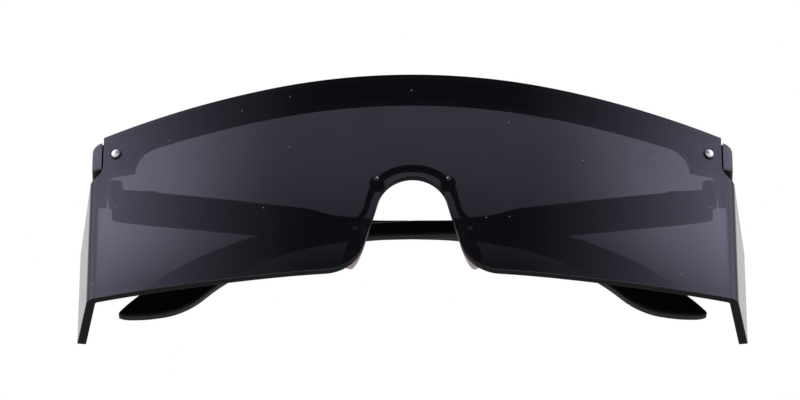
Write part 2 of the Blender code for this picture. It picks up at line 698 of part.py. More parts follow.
# A temple's side outline. Each row is a share of the length from the hinge, and the heights of the
# upper and lower edge there, as shares of the length, above or below the hinge's centre.
TEMPLE_EDGE_SHARES = (
    (0.030, 0.0182, -0.0381),
    (0.155, 0.0048, -0.0518),
    (0.295, -0.0124, -0.0660),
    (0.326, -0.0168, -0.0655),
    (0.350, -0.0240, -0.0642),
    (0.375, -0.0300, -0.0632),
    (0.434, -0.0356, -0.0625),
    (0.505, -0.0365, -0.0642),
    (0.581, -0.0420, -0.0680),
    (0.678, -0.0520, -0.0845),
    (0.763, -0.0690, -0.1150),
    (0.826, -0.0930, -0.1560),
    (0.868, -0.1130, -0.1905),
    (0.903, -0.1345, -0.2080),
    (0.940, -0.1595, -0.2155),
    (0.970, -0.1845, -0.2175),
    (0.987, -0.2005, -0.2165),
    (0.996, -0.2105, -0.2135),
)


def temple_outline():
    root = -TEMPLE_LEAD
    rows = [[TEMPLE_LENGTH * share for share in row] for row in TEMPLE_EDGE_SHARES]
    upper = [(along, high) for along, high, low in rows]
    lower = [(along, low) for along, high, low in rows]
    top_edge = smooth([(root, TEMPLE_ROOT_RISE)] + upper, EDGE_STEPS)
    low_edge = smooth([(root, -TEMPLE_ROOT_DROP)] + lower, EDGE_STEPS)
    return top_edge + low_edge[::-1]


def make_temple(side):
    name = SIDE_NAME[side]
    low, high = sorted((side * WALL_INNER, side * (WALL_INNER + TEMPLE_THICKNESS)))
    temple = slab("temple_" + name, temple_outline(), "yz", low, high, temple_axis[side], BLACK_FRAME)
    soften(temple, TEMPLE_EDGE)
    for offset in stake_offsets():
        ends = sorted((side * (WALL_INNER - SEAT_GAP), side * (WALL_INNER + STAKE_LENGTH)))
        hole = rod(
            "temple_stake_hole_" + name, STAKE_RADIUS + STAKE_CLEARANCE, ends[0], ends[1],
            temple_axis[side], "x", (0, offset, 0),
        )
        join(temple, hole, "DIFFERENCE")


# Half of the bridge wire. The arch's points are shares of the screws' half spacing and of the
# arch's rise above them, and the arm's are shares of the way from the lug to the pad screw.
ARCH_SHARES = ((0.0, 1.0), (0.36, 0.92), (0.70, 0.61), (0.94, 0.16))
ARM_SHARES = (
    (0.14, 0.07, 0.13),
    (0.31, 0.26, 0.38),
    (0.46, 0.54, 0.595),
    (0.664, 0.79, 0.69),
    (0.888, 0.91, 0.75),
    (1.02, 0.97, 0.86),
)


def bridge_route():
    lug_depth = nose_screw_depth + FRAME_DEPTH + LUG_THICKNESS / 2
    lug = Vector((NOSE_SCREW_HALF_SPACING, lug_depth, NOSE_SCREW_HEIGHT))
    pivot = Vector((PAD_PIVOT_HALF_SPACING, ARM_DEPTH, PAD_PIVOT_HEIGHT))
    arch = [
        (lug.x * across, lug.y, lug.z + BRIDGE_RISE * rise)
        for across, rise in ARCH_SHARES
    ]
    arm = [
        tuple(start + (end - start) * share for start, end, share in zip(lug, pivot, shares))
        for shares in ARM_SHARES
    ]
    return arch + arm


def make_bridge():
    curve = bpy.data.curves.new("bridge_wire", "CURVE")
    curve.dimensions = "3D"
    curve.bevel_depth = BRIDGE_WIRE_RADIUS
    curve.bevel_resolution = BRIDGE_ROUND_STEPS
    curve.use_fill_caps = True
    curve.resolution_u = 3
    line = curve.splines.new("BEZIER")
    left = bridge_route()
    right = [(-x, y, z) for x, y, z in left[:0:-1]]
    route = right + left
    line.bezier_points.add(len(route) - 1)
    for i, (point, spot) in enumerate(zip(line.bezier_points, route)):
        point.co = spot
        point.handle_left_type = "AUTO"
        point.handle_right_type = "AUTO"
        from_centre = abs(i - len(right))
        point.radius = BRIDGE_ARM_SHARE if from_centre > len(ARCH_SHARES) else 1.0
    drawn = bpy.data.objects.new("bridge_route", curve)
    bridge = place(as_mesh(drawn, "nose_bridge"), glasses, finish=BLACK_FRAME)
    for side in (1, -1):
        name = SIDE_NAME[side]
        lug_front = -FRAME_DEPTH
        join(bridge, rod("lug_" + name, LUG_RADIUS, lug_front - LUG_THICKNESS, lug_front, nose_axis[side]))
        hole = rod(
            "lug_hole_" + name, NOSE_SHANK_RADIUS + HARDWARE_CLEARANCE,
            -NOSE_SHANK_LENGTH - HARDWARE_CLEARANCE, -LENS_THICKNESS, nose_axis[side],
        )
        join(bridge, hole, "DIFFERENCE")
        low_x, high_x = sorted((-side * BOX_FRONT, side * (BOX_WIDTH - BOX_FRONT)))
        pad_box = box(
            "pad_box_" + name,
            (low_x, -BOX_DEPTH / 2, -BOX_HEIGHT / 2),
            (high_x, BOX_DEPTH / 2, BOX_HEIGHT / 2),
            pad_axis[side],
        )
        join(bridge, pad_box)
        slot_low, slot_high = sorted((-side * BOX_WIDTH, side * (BOX_WIDTH - BOX_FRONT - BOX_WALL / 2)))
        slot_half = CORE_TAB_THICKNESS / 2 + POCKET_CLEARANCE
        slot = box(
            "pad_slot_" + name,
            (slot_low, -slot_half, -BOX_HEIGHT),
            (slot_high, slot_half, BOX_HEIGHT / 2 - BOX_WALL / 2),
            pad_axis[side],
        )
        join(bridge, slot, "DIFFERENCE")
        bore = rod(
            "pad_box_bore_" + name, PAD_SCREW_RADIUS + HARDWARE_CLEARANCE,
            -BOX_DEPTH, BOX_DEPTH, pad_axis[side], "y",
        )
        join(bridge, bore, "DIFFERENCE")
    return bridge


def oval(half_width, half_height, centre_height, count):
    return [
        (half_width * math.cos(turn), centre_height + half_height * math.sin(turn))
        for turn in spread(0, math.tau, count)[:-1]
    ]


def make_pad(side):
    name = SIDE_NAME[side]
    axis = pad_axis[side]
    low, high = sorted((-side * PAD_FACE, -side * (PAD_FACE + PAD_THICKNESS)))
    pad = slab(
        "nose_pad_" + name, oval(PAD_HALF_WIDTH, PAD_HALF_HEIGHT, -PAD_DROP, 28),
        "yz", low, high, axis, CLEAR_PAD,
    )
    soften(pad, PAD_EDGE)
    pocket_end = PAD_FACE + CORE_THICKNESS + 2 * POCKET_CLEARANCE
    low, high = sorted((-side * (PAD_FACE - SEAT_GAP), -side * pocket_end))
    pocket = slab(
        "pad_pocket_" + name,
        oval(CORE_HALF_WIDTH + POCKET_CLEARANCE, CORE_HALF_HEIGHT + POCKET_CLEARANCE, -PAD_DROP, 16),
        "yz", low, high, axis,
    )
    join(pad, pocket, "DIFFERENCE")
    # The core lies in the pocket, and its tab turns on the screw in the box
    core_start = PAD_FACE + POCKET_CLEARANCE
    low, high = sorted((-side * core_start, -side * (core_start + CORE_THICKNESS)))
    core = slab(
        "pad_core_" + name, oval(CORE_HALF_WIDTH, CORE_HALF_HEIGHT, -PAD_DROP, 16),
        "yz", low, high, axis, PAD_CORE,
    )
    half_tab = CORE_TAB_THICKNESS / 2
    tab = rod("pad_tab_" + name, CORE_TAB_RADIUS, -half_tab, half_tab, axis, "y")
    join(core, tab)
    neck_low, neck_high = sorted((0, -side * (core_start + CORE_THICKNESS / 2)))
    neck = box(
        "pad_neck_" + name,
        (neck_low, -half_tab * NECK_SHARE, -CORE_TAB_RADIUS * NECK_SHARE),
        (neck_high, half_tab * NECK_SHARE, CORE_TAB_RADIUS * NECK_SHARE),
        axis,
    )
    join(core, neck)
    bore = rod("tab_bore_" + name, PAD_SCREW_RADIUS + HARDWARE_CLEARANCE, -BOX_DEPTH, BOX_DEPTH, axis, "y")
    join(core, bore, "DIFFERENCE")
    screw = rod(
        "pad_screw_" + name, PAD_SCREW_RADIUS,
        -BOX_DEPTH / 2 - HARDWARE_CLEARANCE - PAD_SCREW_HEAD_HEIGHT / 2, BOX_DEPTH / 2, axis, "y",
        finish=POLISHED_STEEL,
    )
    head = rod(
        "pad_screw_head_" + name, PAD_SCREW_HEAD_RADIUS,
        -BOX_DEPTH / 2 - HARDWARE_CLEARANCE - PAD_SCREW_HEAD_HEIGHT,
        -BOX_DEPTH / 2 - HARDWARE_CLEARANCE, axis, "y",
    )
    join(screw, head)


# The neck between core and tab, as a share of the tab
NECK_SHARE = 0.9


def make_nose_screw(side):
    seat = HARDWARE_CLEARANCE
    top = seat + NOSE_HEAD_HEIGHT
    head = [(NOSE_HEAD_RADIUS * share, seat + NOSE_HEAD_HEIGHT * rise) for share, rise in DOME_SHARES]
    end = -NOSE_SHANK_LENGTH
    shank = [(NOSE_SHANK_RADIUS, seat), (NOSE_SHANK_RADIUS, end), (0, end)]
    turned(
        "nose_screw_" + SIDE_NAME[side],
        [(0, top)] + head + [(NOSE_HEAD_RADIUS, seat)] + shank,
        nose_axis[side], POLISHED_STEEL,
    )


make_lens()
make_brow_frame()
make_bridge()
for side in (1, -1):
    make_corner_hardware(side)
    make_nose_screw(side)
    make_pad(side)
    make_hinge(side)
    make_temple(side)

for obj in parts.objects:
    if obj.type == "MESH":
        obj.data.shade_smooth()
        obj.data.set_sharp_from_angle(angle=math.radians(30))
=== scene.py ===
# Wraparound sunglasses, folded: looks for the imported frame. Metres, +X is the wearer's left.
import json
import math

import bmesh
import bpy
from mathutils import Matrix, Vector


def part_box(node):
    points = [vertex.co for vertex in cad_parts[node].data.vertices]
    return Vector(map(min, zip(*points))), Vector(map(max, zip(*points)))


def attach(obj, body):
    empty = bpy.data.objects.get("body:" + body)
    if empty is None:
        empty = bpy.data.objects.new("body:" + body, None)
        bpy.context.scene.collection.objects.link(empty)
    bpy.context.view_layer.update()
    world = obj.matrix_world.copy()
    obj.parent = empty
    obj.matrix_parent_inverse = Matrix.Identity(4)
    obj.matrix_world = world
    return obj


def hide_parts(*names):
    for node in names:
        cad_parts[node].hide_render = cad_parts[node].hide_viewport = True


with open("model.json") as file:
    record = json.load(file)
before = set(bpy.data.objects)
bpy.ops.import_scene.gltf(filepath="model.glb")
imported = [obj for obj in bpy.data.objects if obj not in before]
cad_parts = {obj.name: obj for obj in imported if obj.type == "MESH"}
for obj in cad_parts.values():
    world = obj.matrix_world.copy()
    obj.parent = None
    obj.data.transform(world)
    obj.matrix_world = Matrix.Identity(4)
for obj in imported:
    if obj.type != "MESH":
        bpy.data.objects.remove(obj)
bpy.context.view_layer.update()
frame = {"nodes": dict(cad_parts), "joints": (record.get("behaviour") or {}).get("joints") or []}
sideNames = {1: "left", -1: "right"}
jointSpot = {joint["name"]: Vector(joint["pos_m"]) for joint in frame["joints"]}
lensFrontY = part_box("lens_shield")[0].y  # the foremost point of the lens
print("frame loaded")


# Small tools for outlines and meshes
sameSpot = 1e-7    # points closer than this are one
cutShift = 1e-5    # cuts lie this far beside the outlines' own points


def spread(start, end, count):
    return [start + (end - start) * i / count for i in range(count + 1)]


def arc(centreX, centreY, radius, start, end, count):
    return [
        (centreX + radius * math.cos(turn), centreY + radius * math.sin(turn))
        for turn in spread(start, end, count)
    ]


def mirrored(half):
    # a half outline from the middle line round to the middle line, and its mirror image
    return half + [(-across, up) for across, up in reversed(half[1:-1])]


def smoothCurve(points, count):
    ends = [points[0]] + points + [points[-1]]
    curve = []
    for before, start, end, after in zip(ends, ends[1:], ends[2:], ends[3:]):
        for share in spread(0, 1, count)[:-1]:
            curve.append(tuple(
                0.5 * (
                    2 * b + (c - a) * share
                    + (2 * a - 5 * b + 4 * c - d) * share**2
                    + (3 * b - a - 3 * c + d) * share**3
                )
                for a, b, c, d in zip(before, start, end, after)
            ))
    return curve + [points[-1]]


def meshObject(name, work):
    bmesh.ops.recalc_face_normals(work, faces=work.faces)
    mesh = bpy.data.meshes.new(name)
    work.to_mesh(mesh)
    work.free()
    made = bpy.data.objects.new(name, mesh)
    bpy.context.scene.collection.objects.link(made)
    return made


def settle(obj):
    # bake the modifiers into the mesh
    bpy.context.view_layer.update()
    evaluated = obj.evaluated_get(bpy.context.evaluated_depsgraph_get())
    mesh = bpy.data.meshes.new_from_object(evaluated)
    obj.modifiers.clear()
    obj.data = mesh


def carve(obj, others, operation="DIFFERENCE"):
    for other in others:
        step = obj.modifiers.new(operation.lower(), "BOOLEAN")
        step.operation = operation
        step.object = other
        step.solver = "EXACT"
    settle(obj)
    for other in others:
        bpy.data.objects.remove(other, do_unlink=True)
    return obj


def smoothShade(obj, angle=math.radians(40)):
    # wide faces keep their own normals, so that only the narrow rounded rims turn
    obj.data.shade_smooth()
    obj.data.set_sharp_from_angle(angle=angle)
    weights = obj.modifiers.new("weights", "WEIGHTED_NORMAL")
    weights.weight = 100
    weights.keep_sharp = True
    settle(obj)


# The same outline drawn in towards its inside
def inset(outline, amount):
    pairs = list(zip(outline, outline[1:] + outline[:1]))
    facing = math.copysign(1, sum(ax * by - bx * ay for (ax, ay), (bx, by) in pairs))
    normals = []
    for (ax, ay), (bx, by) in pairs:
        length = math.hypot(bx - ax, by - ay)
        normals.append((-(by - ay) / length * facing, (bx - ax) / length * facing))
    drawn = []
    for (x, y), (nx, ny), (mx, my) in zip(outline, normals[-1:] + normals[:-1], normals):
        reach = amount / (1 + nx * mx + ny * my)
        drawn.append((x + (nx + mx) * reach, y + (ny + my) * reach))
    return drawn


# A plate from an outline, with rounded rims: cut into strips so that it can be bent, then put in
# place by a function of (across, depth, up)
def plate(name, outline, thickness, rim, rimSteps, cuts, placeAt):
    work = bmesh.new()
    rows = []
    for turn in spread(0, math.pi / 2, rimSteps):
        drawnIn, depth = rim * (1 - math.sin(turn)), rim * (1 - math.cos(turn))
        rows.append([(across, depth, up) for across, up in inset(outline, drawnIn)])
    rows += [[(across, thickness - depth, up) for across, depth, up in row] for row in rows[::-1]]
    rows = [[work.verts.new(point) for point in row] for row in rows]
    count = len(outline)
    for one, two in zip(rows, rows[1:]):
        for i in range(count):
            j = (i + 1) % count
            work.faces.new((one[i], one[j], two[j], two[i]))
    work.faces.new(rows[0][::-1])
    work.faces.new(rows[-1])
    for cut in cuts:
        bmesh.ops.bisect_plane(
            work, geom=work.verts[:] + work.edges[:] + work.faces[:], dist=sameSpot,
            plane_co=(cut, 0, 0), plane_no=(1, 0, 0),
        )
    for vert in work.verts:
        vert.co = placeAt(*vert.co)
    return meshObject(name, work)


# A body through rings of points, closed by a cap at both ends
def loft(name, rings):
    work = bmesh.new()
    rows = [[work.verts.new(point) for point in ring] for ring in rings]
    count = len(rows[0])
    for one, two in zip(rows, rows[1:]):
        for i in range(count):
            j = (i + 1) % count
            work.faces.new((one[i], one[j], two[j], two[i]))
    work.faces.new(rows[0][::-1])
    work.faces.new(rows[-1])
    return meshObject(name, work)


# A turned piece from (radius, height) pairs, closed round its axis
def turned(name, profile, place, steps=40):
    work = bmesh.new()
    rows = []
    for radius, height in profile:
        if radius < sameSpot:
            rows.append([work.verts.new((0, 0, height))])
            continue
        rows.append([
            work.verts.new((radius * math.cos(turn), radius * math.sin(turn), height))
            for turn in spread(0, math.tau, steps)[:-1]
        ])
    for one, two in zip(rows, rows[1:]):
        for i in range(steps):
            j = (i + 1) % steps
            corners = [one[i % len(one)], one[j % len(one)], two[j % len(two)], two[i % len(two)]]
            work.faces.new(list(dict.fromkeys(corners)))
    bmesh.ops.remove_doubles(work, verts=work.verts, dist=sameSpot)
    made = meshObject(name, work)
    made.data.transform(place)
    return made


def block(name, low, high, rim, place):
    work = bmesh.new()
    bmesh.ops.create_cube(work, size=1)
    low, high = Vector(map(min, low, high)), Vector(map(max, low, high))
    mm = 1000  # shaped in millimetres, then shrunk
    bmesh.ops.scale(work, vec=(high - low) * mm, verts=work.verts)
    bmesh.ops.translate(work, vec=(low + high) / 2 * mm, verts=work.verts)
    if rim:
        bmesh.ops.bevel(work, geom=work.edges, offset=rim * mm, segments=3, profile=0.5, affect="EDGES")
    bmesh.ops.scale(work, vec=Vector((1, 1, 1)) / mm, verts=work.verts)
    made = meshObject(name, work)
    made.data.transform(place)
    return made


def finish(obj, material, body, slot, *replaced):
    obj.data.materials.clear()
    obj.data.materials.append(material)
    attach(obj, body)
    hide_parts(*replaced)


# Node tools for the materials
def newMaterial(name):
    made = bpy.data.materials.new(name)
    made.use_nodes = True
    shader = made.node_tree.nodes["Principled BSDF"]
    return made, made.node_tree.nodes, made.node_tree.links, shader


def objectCoords(nodes):
    return nodes.new("ShaderNodeTexCoord").outputs["Object"]


def noiseOf(nodes, links, coords, scale, detail, stretch=None):
    if stretch:
        mapping = nodes.new("ShaderNodeMapping")
        mapping.inputs["Scale"].default_value = stretch
        links.new(coords, mapping.inputs["Vector"])
        coords = mapping.outputs["Vector"]
    noise = nodes.new("ShaderNodeTexNoise")
    noise.inputs["Scale"].default_value = scale
    noise.inputs["Detail"].default_value = detail
    links.new(coords, noise.inputs["Vector"])
    return noise.outputs["Fac"]


def mapped(nodes, links, value, fromLow, fromHigh, toLow, toHigh, smooth=False):
    node = nodes.new("ShaderNodeMapRange")
    node.interpolation_type = "SMOOTHSTEP" if smooth else "LINEAR"
    numbers = {"From Min": fromLow, "From Max": fromHigh, "To Min": toLow, "To Max": toHigh}
    for name, number in numbers.items():
        node.inputs[name].default_value = number
    links.new(value, node.inputs["Value"])
    return node.outputs["Result"]


def maths(nodes, links, operation, *values):
    node = nodes.new("ShaderNodeMath")
    node.operation = operation
    for socket, value in zip(node.inputs, values):
        if isinstance(value, (int, float)):
            socket.default_value = value
        else:
            links.new(value, socket)
    return node.outputs["Value"]


def mixColours(nodes, links, factor, one, two):
    node = nodes.new("ShaderNodeMix")
    node.data_type = "RGBA"
    links.new(factor, node.inputs["Factor"])
    for name, colour in (("A", one), ("B", two)):
        socket = [s for s in node.inputs if s.name == name and s.type == "RGBA"][0]
        if isinstance(colour, tuple):
            socket.default_value = (*colour, 1)
        else:
            links.new(colour, socket)
    return [s for s in node.outputs if s.type == "RGBA"][0]


def grained(nodes, links, shader, grain, colours, band, rough):
    # colour and roughness both follow the grain
    links.new(mixColours(nodes, links, grain, *colours), shader.inputs["Base Color"])
    links.new(mapped(nodes, links, grain, *band, *rough), shader.inputs["Roughness"])


def addBump(nodes, links, shader, height, strength, distance):
    bump = nodes.new("ShaderNodeBump")
    bump.inputs["Strength"].default_value = strength
    bump.inputs["Distance"].default_value = distance
    links.new(height, bump.inputs["Height"])
    links.new(bump.outputs["Normal"], shader.inputs["Normal"])


# Camera and studio
camera = {
    "target": (0, 0.015, 0.0241),  # depth behind the front of the lens, and height
    "distance": 1.0,
    "elevation": math.radians(-28),
    "focal": 207.1,
    "shiftX": -0.015625,
}


def makeCamera():
    x, depth, z = camera["target"]
    reach, rise = camera["distance"], camera["elevation"]
    data = bpy.data.cameras.new("photoCamera")
    data.lens = camera["focal"]
    data.shift_x = camera["shiftX"]
    data.clip_start = 0.01
    made = bpy.data.objects.new("photoCamera", data)
    made.location = (x, lensFrontY + depth - reach * math.cos(rise), z + reach * math.sin(rise))
    made.rotation_euler = (math.pi / 2 - rise, 0, 0)
    bpy.context.scene.collection.objects.link(made)
    bpy.context.scene.camera = made


studio = {
    "floorDrop": 0.60,                  # the floor lies below the camera, which looks up at the lens
    "floorSize": 9.0,
    "floorColour": (0.90, 0.92, 0.80),  # looks neutral under the bluish soft boxes
    "floorNoise": (3.0, 4),             # scale and detail, here and below
    "floorShade": 0.97,                 # its darker patches, times the colour
    "floorRough": 0.9,
    "dark": (0.098, 0.094, 0.125),      # the unlit part of the room in front of the lens
    "bright": (1.76, 1.67, 2.34),       # soft boxes at both sides of it
    "white": (1.0, 1.0, 1.0),
    "paleWall": (0.63, 0.61, 0.64),     # walls beside the white backdrop
    "darkAngle": 14.0,                  # degrees from straight ahead where the dark ends
    "brightAngle": 46.0,                # where the soft boxes are fully bright
    "wallAngle": (78.0, 114.0),         # where the soft boxes end and the walls start
    "backdropAngle": (161.0, 173.5),    # where the walls end and the backdrop starts
    "rampPower": 3.06,
    "lowEdge": (0.03, 0.20),            # sines of the elevations between which the room fades in
    "highEdge": (0.72, 0.92),           # and out again
}


def makeWorld():
    world = bpy.data.worlds.new("studio")
    bpy.context.scene.world = world
    world.use_nodes = True
    nodes, links = world.node_tree.nodes, world.node_tree.links
    direction = nodes.new("ShaderNodeTexCoord").outputs["Generated"]
    split = nodes.new("ShaderNodeSeparateXYZ")
    links.new(direction, split.inputs[0])
    x, y, z = split.outputs
    ahead = maths(nodes, links, "MULTIPLY", y, -1)
    turn = maths(nodes, links, "ABSOLUTE", maths(nodes, links, "ARCTAN2", x, ahead))
    ramp = mapped(
        nodes, links, turn, math.radians(studio["darkAngle"]), math.radians(studio["brightAngle"]), 0, 1
    )
    ramp = maths(nodes, links, "POWER", ramp, studio["rampPower"])
    front = mixColours(nodes, links, ramp, studio["dark"], studio["bright"])
    start, end = map(math.radians, studio["wallAngle"])
    behind = mapped(nodes, links, turn, start, end, 0, 1, smooth=True)
    start, end = map(math.radians, studio["backdropAngle"])
    backdrop = mapped(nodes, links, turn, start, end, 0, 1, smooth=True)
    rear = mixColours(nodes, links, backdrop, studio["paleWall"], studio["white"])
    around = mixColours(nodes, links, behind, front, rear)
    low = mapped(nodes, links, z, *studio["lowEdge"], 0, 1, smooth=True)
    high = mapped(nodes, links, z, *studio["highEdge"], 1, 0, smooth=True)
    band = maths(nodes, links, "MULTIPLY", low, high)
    colour = mixColours(nodes, links, band, studio["white"], around)
    links.new(colour, nodes["Background"].inputs["Color"])
    bpy.context.scene.view_settings.view_transform = "Standard"


def makeFloor():
    size = studio["floorSize"] / 2
    work = bmesh.new()
    corners = [(-size, -size), (size, -size), (size, size), (-size, size)]
    work.faces.new([work.verts.new((x, y, -studio["floorDrop"])) for x, y in corners])
    floor = meshObject("floor", work)
    material, nodes, links, shader = newMaterial("paleFloor")
    grain = noiseOf(nodes, links, objectCoords(nodes), *studio["floorNoise"])
    shade = tuple(c * studio["floorShade"] for c in studio["floorColour"])
    links.new(mixColours(nodes, links, grain, shade, studio["floorColour"]), shader.inputs["Base Color"])
    shader.inputs["Roughness"].default_value = studio["floorRough"]
    floor.data.materials.append(material)


makeCamera()
makeWorld()
makeFloor()
print("camera, light and floor ready")


# The lens: one sheet of smoke plastic, round in plan, folded back into a wing at each side
lens = {
    "thickness": 0.0020,
    "centreRadius": 0.140,
    "centreHalf": 0.030,
    "sideRadius": 0.260,
    "creaseHalf": 0.0684,
    "creaseRadius": 0.0030,
    "wingAngle": math.radians(80.8),
    "wingLength": 0.0198,
    "height": 0.0470,
    "topRadius": 0.298,
    "notchInset": 0.0009,
    "notchDrop": 0.0173,
    "notchFillet": 0.0025,
    "wingRearDrop": 0.0078,
    "archHeight": 0.0219,
    "archRadius": 0.0076,
    "sideLean": math.radians(16),
    "cornerRadius": 0.0085,
    "rim": 0.00016,
    "smoothAngle": math.radians(12),
    "tintCentre": (0.0335, 0.0300, 0.0425),  # light that passes, middle and sides; the paler sides are painted light for the brighter room seen through them
    "tintSidePaintedLight": (0.074, 0.071, 0.093),
    "tintBand": (0.028, 0.060),         # half widths between which the one becomes the other
    "lowShade": 0.10,                   # painted shade: share of that light near the lower edge
    "fadeLow": 0.002,                   # height where the painted shade starts to lift
    "fadeHigh": (0.039, 0.021),         # and where it is gone, middle and sides
    "fadePower": 1.6,
    "topShade": 0.06,                   # painted shade: share of that light just under the top edge
    "topBand": (0.0013, 0.0016),        # distances below that edge between which the shade ends
    "bendShade": 0.16,                  # painted shade: share of that light in the bend
    "bendBand": (0.0681, 0.0685, 0.0704, 0.0712),  # half widths: starts, is full, lets up, ends
    "ior": 1.50,
    "cloudNoise": (90, 5),
    "cloudBand": (0.35, 0.70),
    "cloudTone": (0.93, 1.06),
    "smearNoise": (140, 6),
    "smearStretch": (1, 1, 3.2),
    "smearBand": (0.45, 0.80),
    "smearRough": (0.012, 0.09),
    "dustScale": 190,
    "dustReach": (0.012, 0.034),        # a grain's radius, solid and faded, as a share of its cell
    "dustRarity": 0.93,                 # share of the cells without a grain
    "dustCover": 0.55,
    "dustColour": (0.42, 0.40, 0.44),
    "dustRough": 0.8,
    "edgeShare": 0.60,                  # faces that look through the sheet less than this are cut edges
    "noseEdgeShare": 0.93,              # the same in the nose cut, whose rims are dark as well
    "noseHalf": 0.0155,
    "edgeColours": ((0.002, 0.002, 0.003), (0.006, 0.005, 0.007)),
    "edgeNoise": (1400, 4),
    "edgeStretch": (1, 1, 3),
    "edgeBand": (0.3, 0.7),
    "edgeRough": (0.22, 0.40),
    "edgeGloss": 0.015,
}
sideStart = math.asin(lens["centreHalf"] / lens["centreRadius"])
sideCentreX = lens["centreHalf"] - lens["sideRadius"] * math.sin(sideStart)
sideCentreY = lens["centreRadius"] * (1 - math.cos(sideStart)) + lens["sideRadius"] * math.cos(sideStart)
notchHalf = lens["creaseHalf"] - lens["notchInset"]
notchHeight = lens["height"] - lens["notchDrop"]
creaseTurn = math.asin((lens["creaseHalf"] - sideCentreX) / lens["sideRadius"])


def turnAt(half, depth=0.0):
    if half <= (lens["centreRadius"] - depth) * math.sin(sideStart):
        return math.asin(half / (lens["centreRadius"] - depth))
    return math.asin((half - sideCentreX) / (lens["sideRadius"] - depth))


def frontSpot(turn, depth=0.0):
    if turn <= sideStart:
        radius = lens["centreRadius"] - depth
        return radius * math.sin(turn), lensFrontY + lens["centreRadius"] - radius * math.cos(turn)
    radius = lens["sideRadius"] - depth
    return sideCentreX + radius * math.sin(turn), lensFrontY + sideCentreY - radius * math.cos(turn)


def topHeight(x):
    return lens["height"] - lens["topRadius"] + math.sqrt(lens["topRadius"]**2 - x**2)


flatRun = lens["sideRadius"] * (creaseTurn - turnAt(notchHalf))  # from the notch to the crease
bendRun = lens["creaseRadius"] * (lens["wingAngle"] - creaseTurn)
lensReach = notchHalf + flatRun + bendRun + lens["wingLength"]


# Up to the notch, across is the half width itself. Past it, across runs on round the crease and along
# the wing.
def lensSpot(across, depth, up):
    reach = abs(across)
    past = reach - notchHalf
    if past <= 0:
        x, y = reach, frontSpot(turnAt(reach, depth), depth)[1]
    elif past <= flatRun:
        start = turnAt(notchHalf, depth)
        x, y = frontSpot(start + (creaseTurn - start) * past / flatRun, depth)
    else:
        past -= flatRun
        turn = creaseTurn + min(past, bendRun) / lens["creaseRadius"]
        bendX, bendY = frontSpot(creaseTurn, lens["creaseRadius"])
        straight = max(past - bendRun, 0)
        radius = lens["creaseRadius"] - depth
        x = bendX + radius * math.sin(turn) + straight * math.cos(turn)
        y = bendY - radius * math.cos(turn) + straight * math.sin(turn)
    return Vector((math.copysign(x, across), y, up))


# The sheet's own direction at a place on it, from its plan
def sheetNormal(spot):
    side = math.copysign(1, spot.x)
    bendX, bendY = frontSpot(creaseTurn, lens["creaseRadius"])
    reach, back = abs(spot.x) - bendX, spot.y - bendY
    if abs(spot.x) < bendX or math.atan2(reach, -back) <= creaseTurn:
        turn = turnAt(min(abs(spot.x), lens["creaseHalf"]), lens["thickness"] / 2)
    else:
        turn = min(math.atan2(reach, -back), lens["wingAngle"])
    return Vector((side * math.sin(turn), -math.cos(turn), 0))


def lensOutline():
    archCentre = lens["archHeight"] - lens["archRadius"]
    arch = arc(0, archCentre, lens["archRadius"], math.pi / 2, lens["sideLean"], 20)
    sideX, sideZ = arch[-1]
    footX = sideX + sideZ * math.tan(lens["sideLean"])
    radius = lens["cornerRadius"]
    tangent = radius * math.tan((math.pi / 2 - lens["sideLean"]) / 2)
    foot = arc(footX + tangent, radius, radius, math.pi + lens["sideLean"], math.pi * 1.5, 14)
    creaseY = frontSpot(creaseTurn)[1]
    rearY = lensSpot(lensReach, 0, 0).y
    fall = lens["wingRearDrop"] / (rearY - creaseY)
    rear = notchHeight - lens["wingRearDrop"]
    fillet = lens["notchFillet"]

    def wingTop(across):
        spot = lensSpot(across, 0, 0)
        short = min(spot.x - notchHalf - fillet, 0)
        rounded = fillet - math.sqrt(max(fillet**2 - short**2, 0))
        return notchHeight + rounded - fall * max(spot.y - creaseY, 0)

    # closer together towards the notch, where the fillet is steep
    steps = [notchHalf + (flatRun + bendRun) * share**2 for share in spread(1, 0, 20)]
    bend = [(across, wingTop(across)) for across in steps]
    top = [(x, topHeight(x)) for x in spread(notchHalf, 0, 40)]
    half = arch + foot + [(lensReach, 0), (lensReach, rear)] + bend + top
    return mirrored(half)


def lensCuts():
    outer = spread(notchHalf, notchHalf + flatRun + bendRun, 16)[1:]
    inner = spread(0, notchHalf, 64)[1:-1]
    return [side * spot + cutShift for spot in inner + outer for side in (1, -1)] + [cutShift]


# A fastener's place on the lens, with +Z out of the front
def onLens(half, height, side):
    turn = turnAt(half)
    x, y = frontSpot(turn)
    turned90 = Matrix.Rotation(side * turn, 4, "Z") @ Matrix.Rotation(math.pi / 2, 4, "X")
    return Matrix.Translation((side * x, y, height)) @ turned90


# Fasteners: their places come first, because the lens and the frame are bored for them
corner = {
    "inset": 0.0028,
    "share": 0.49,       # of the way from the notch up to the top edge
    "shankRadius": 0.00070,
    "headHeight": 0.00055,
    "bushRadius": 0.00110,
    "flangeRadius": 0.00130,
    "flangeHeight": 0.00030,
    "sink": 0.00045,     # depth of the cup for the head
    "cupWall": 0.00006,
    "nutRadius": 0.0015,
    "nutHeight": 0.0013,
    "rim": 0.0001,
    "gap": 0.0001,
}
cornerHalf = notchHalf - corner["inset"]
cornerHeight = notchHeight + (topHeight(cornerHalf) - notchHeight) * corner["share"]
noseScrew = {
    "inset": 0.00015,    # outside the arch of the nose cut
    "drop": 0.0006,      # below its top
    "shankRadius": 0.00035,
    "headRadius": 0.00050,
    "headHeight": 0.00035,
    "length": 0.0034,
    "tip": 0.0001,
    "steps": 28,
    "glintFacing": (0.10, 0.02, 0.2),  # painted glint: faces that look up, inwards and forwards by more than this get the bright steel
}
noseScrewHalf = lens["archRadius"] + noseScrew["inset"]
noseScrewHeight = lens["archHeight"] - noseScrew["drop"]
cornerPlace = {side: onLens(cornerHalf, cornerHeight, side) for side in (1, -1)}
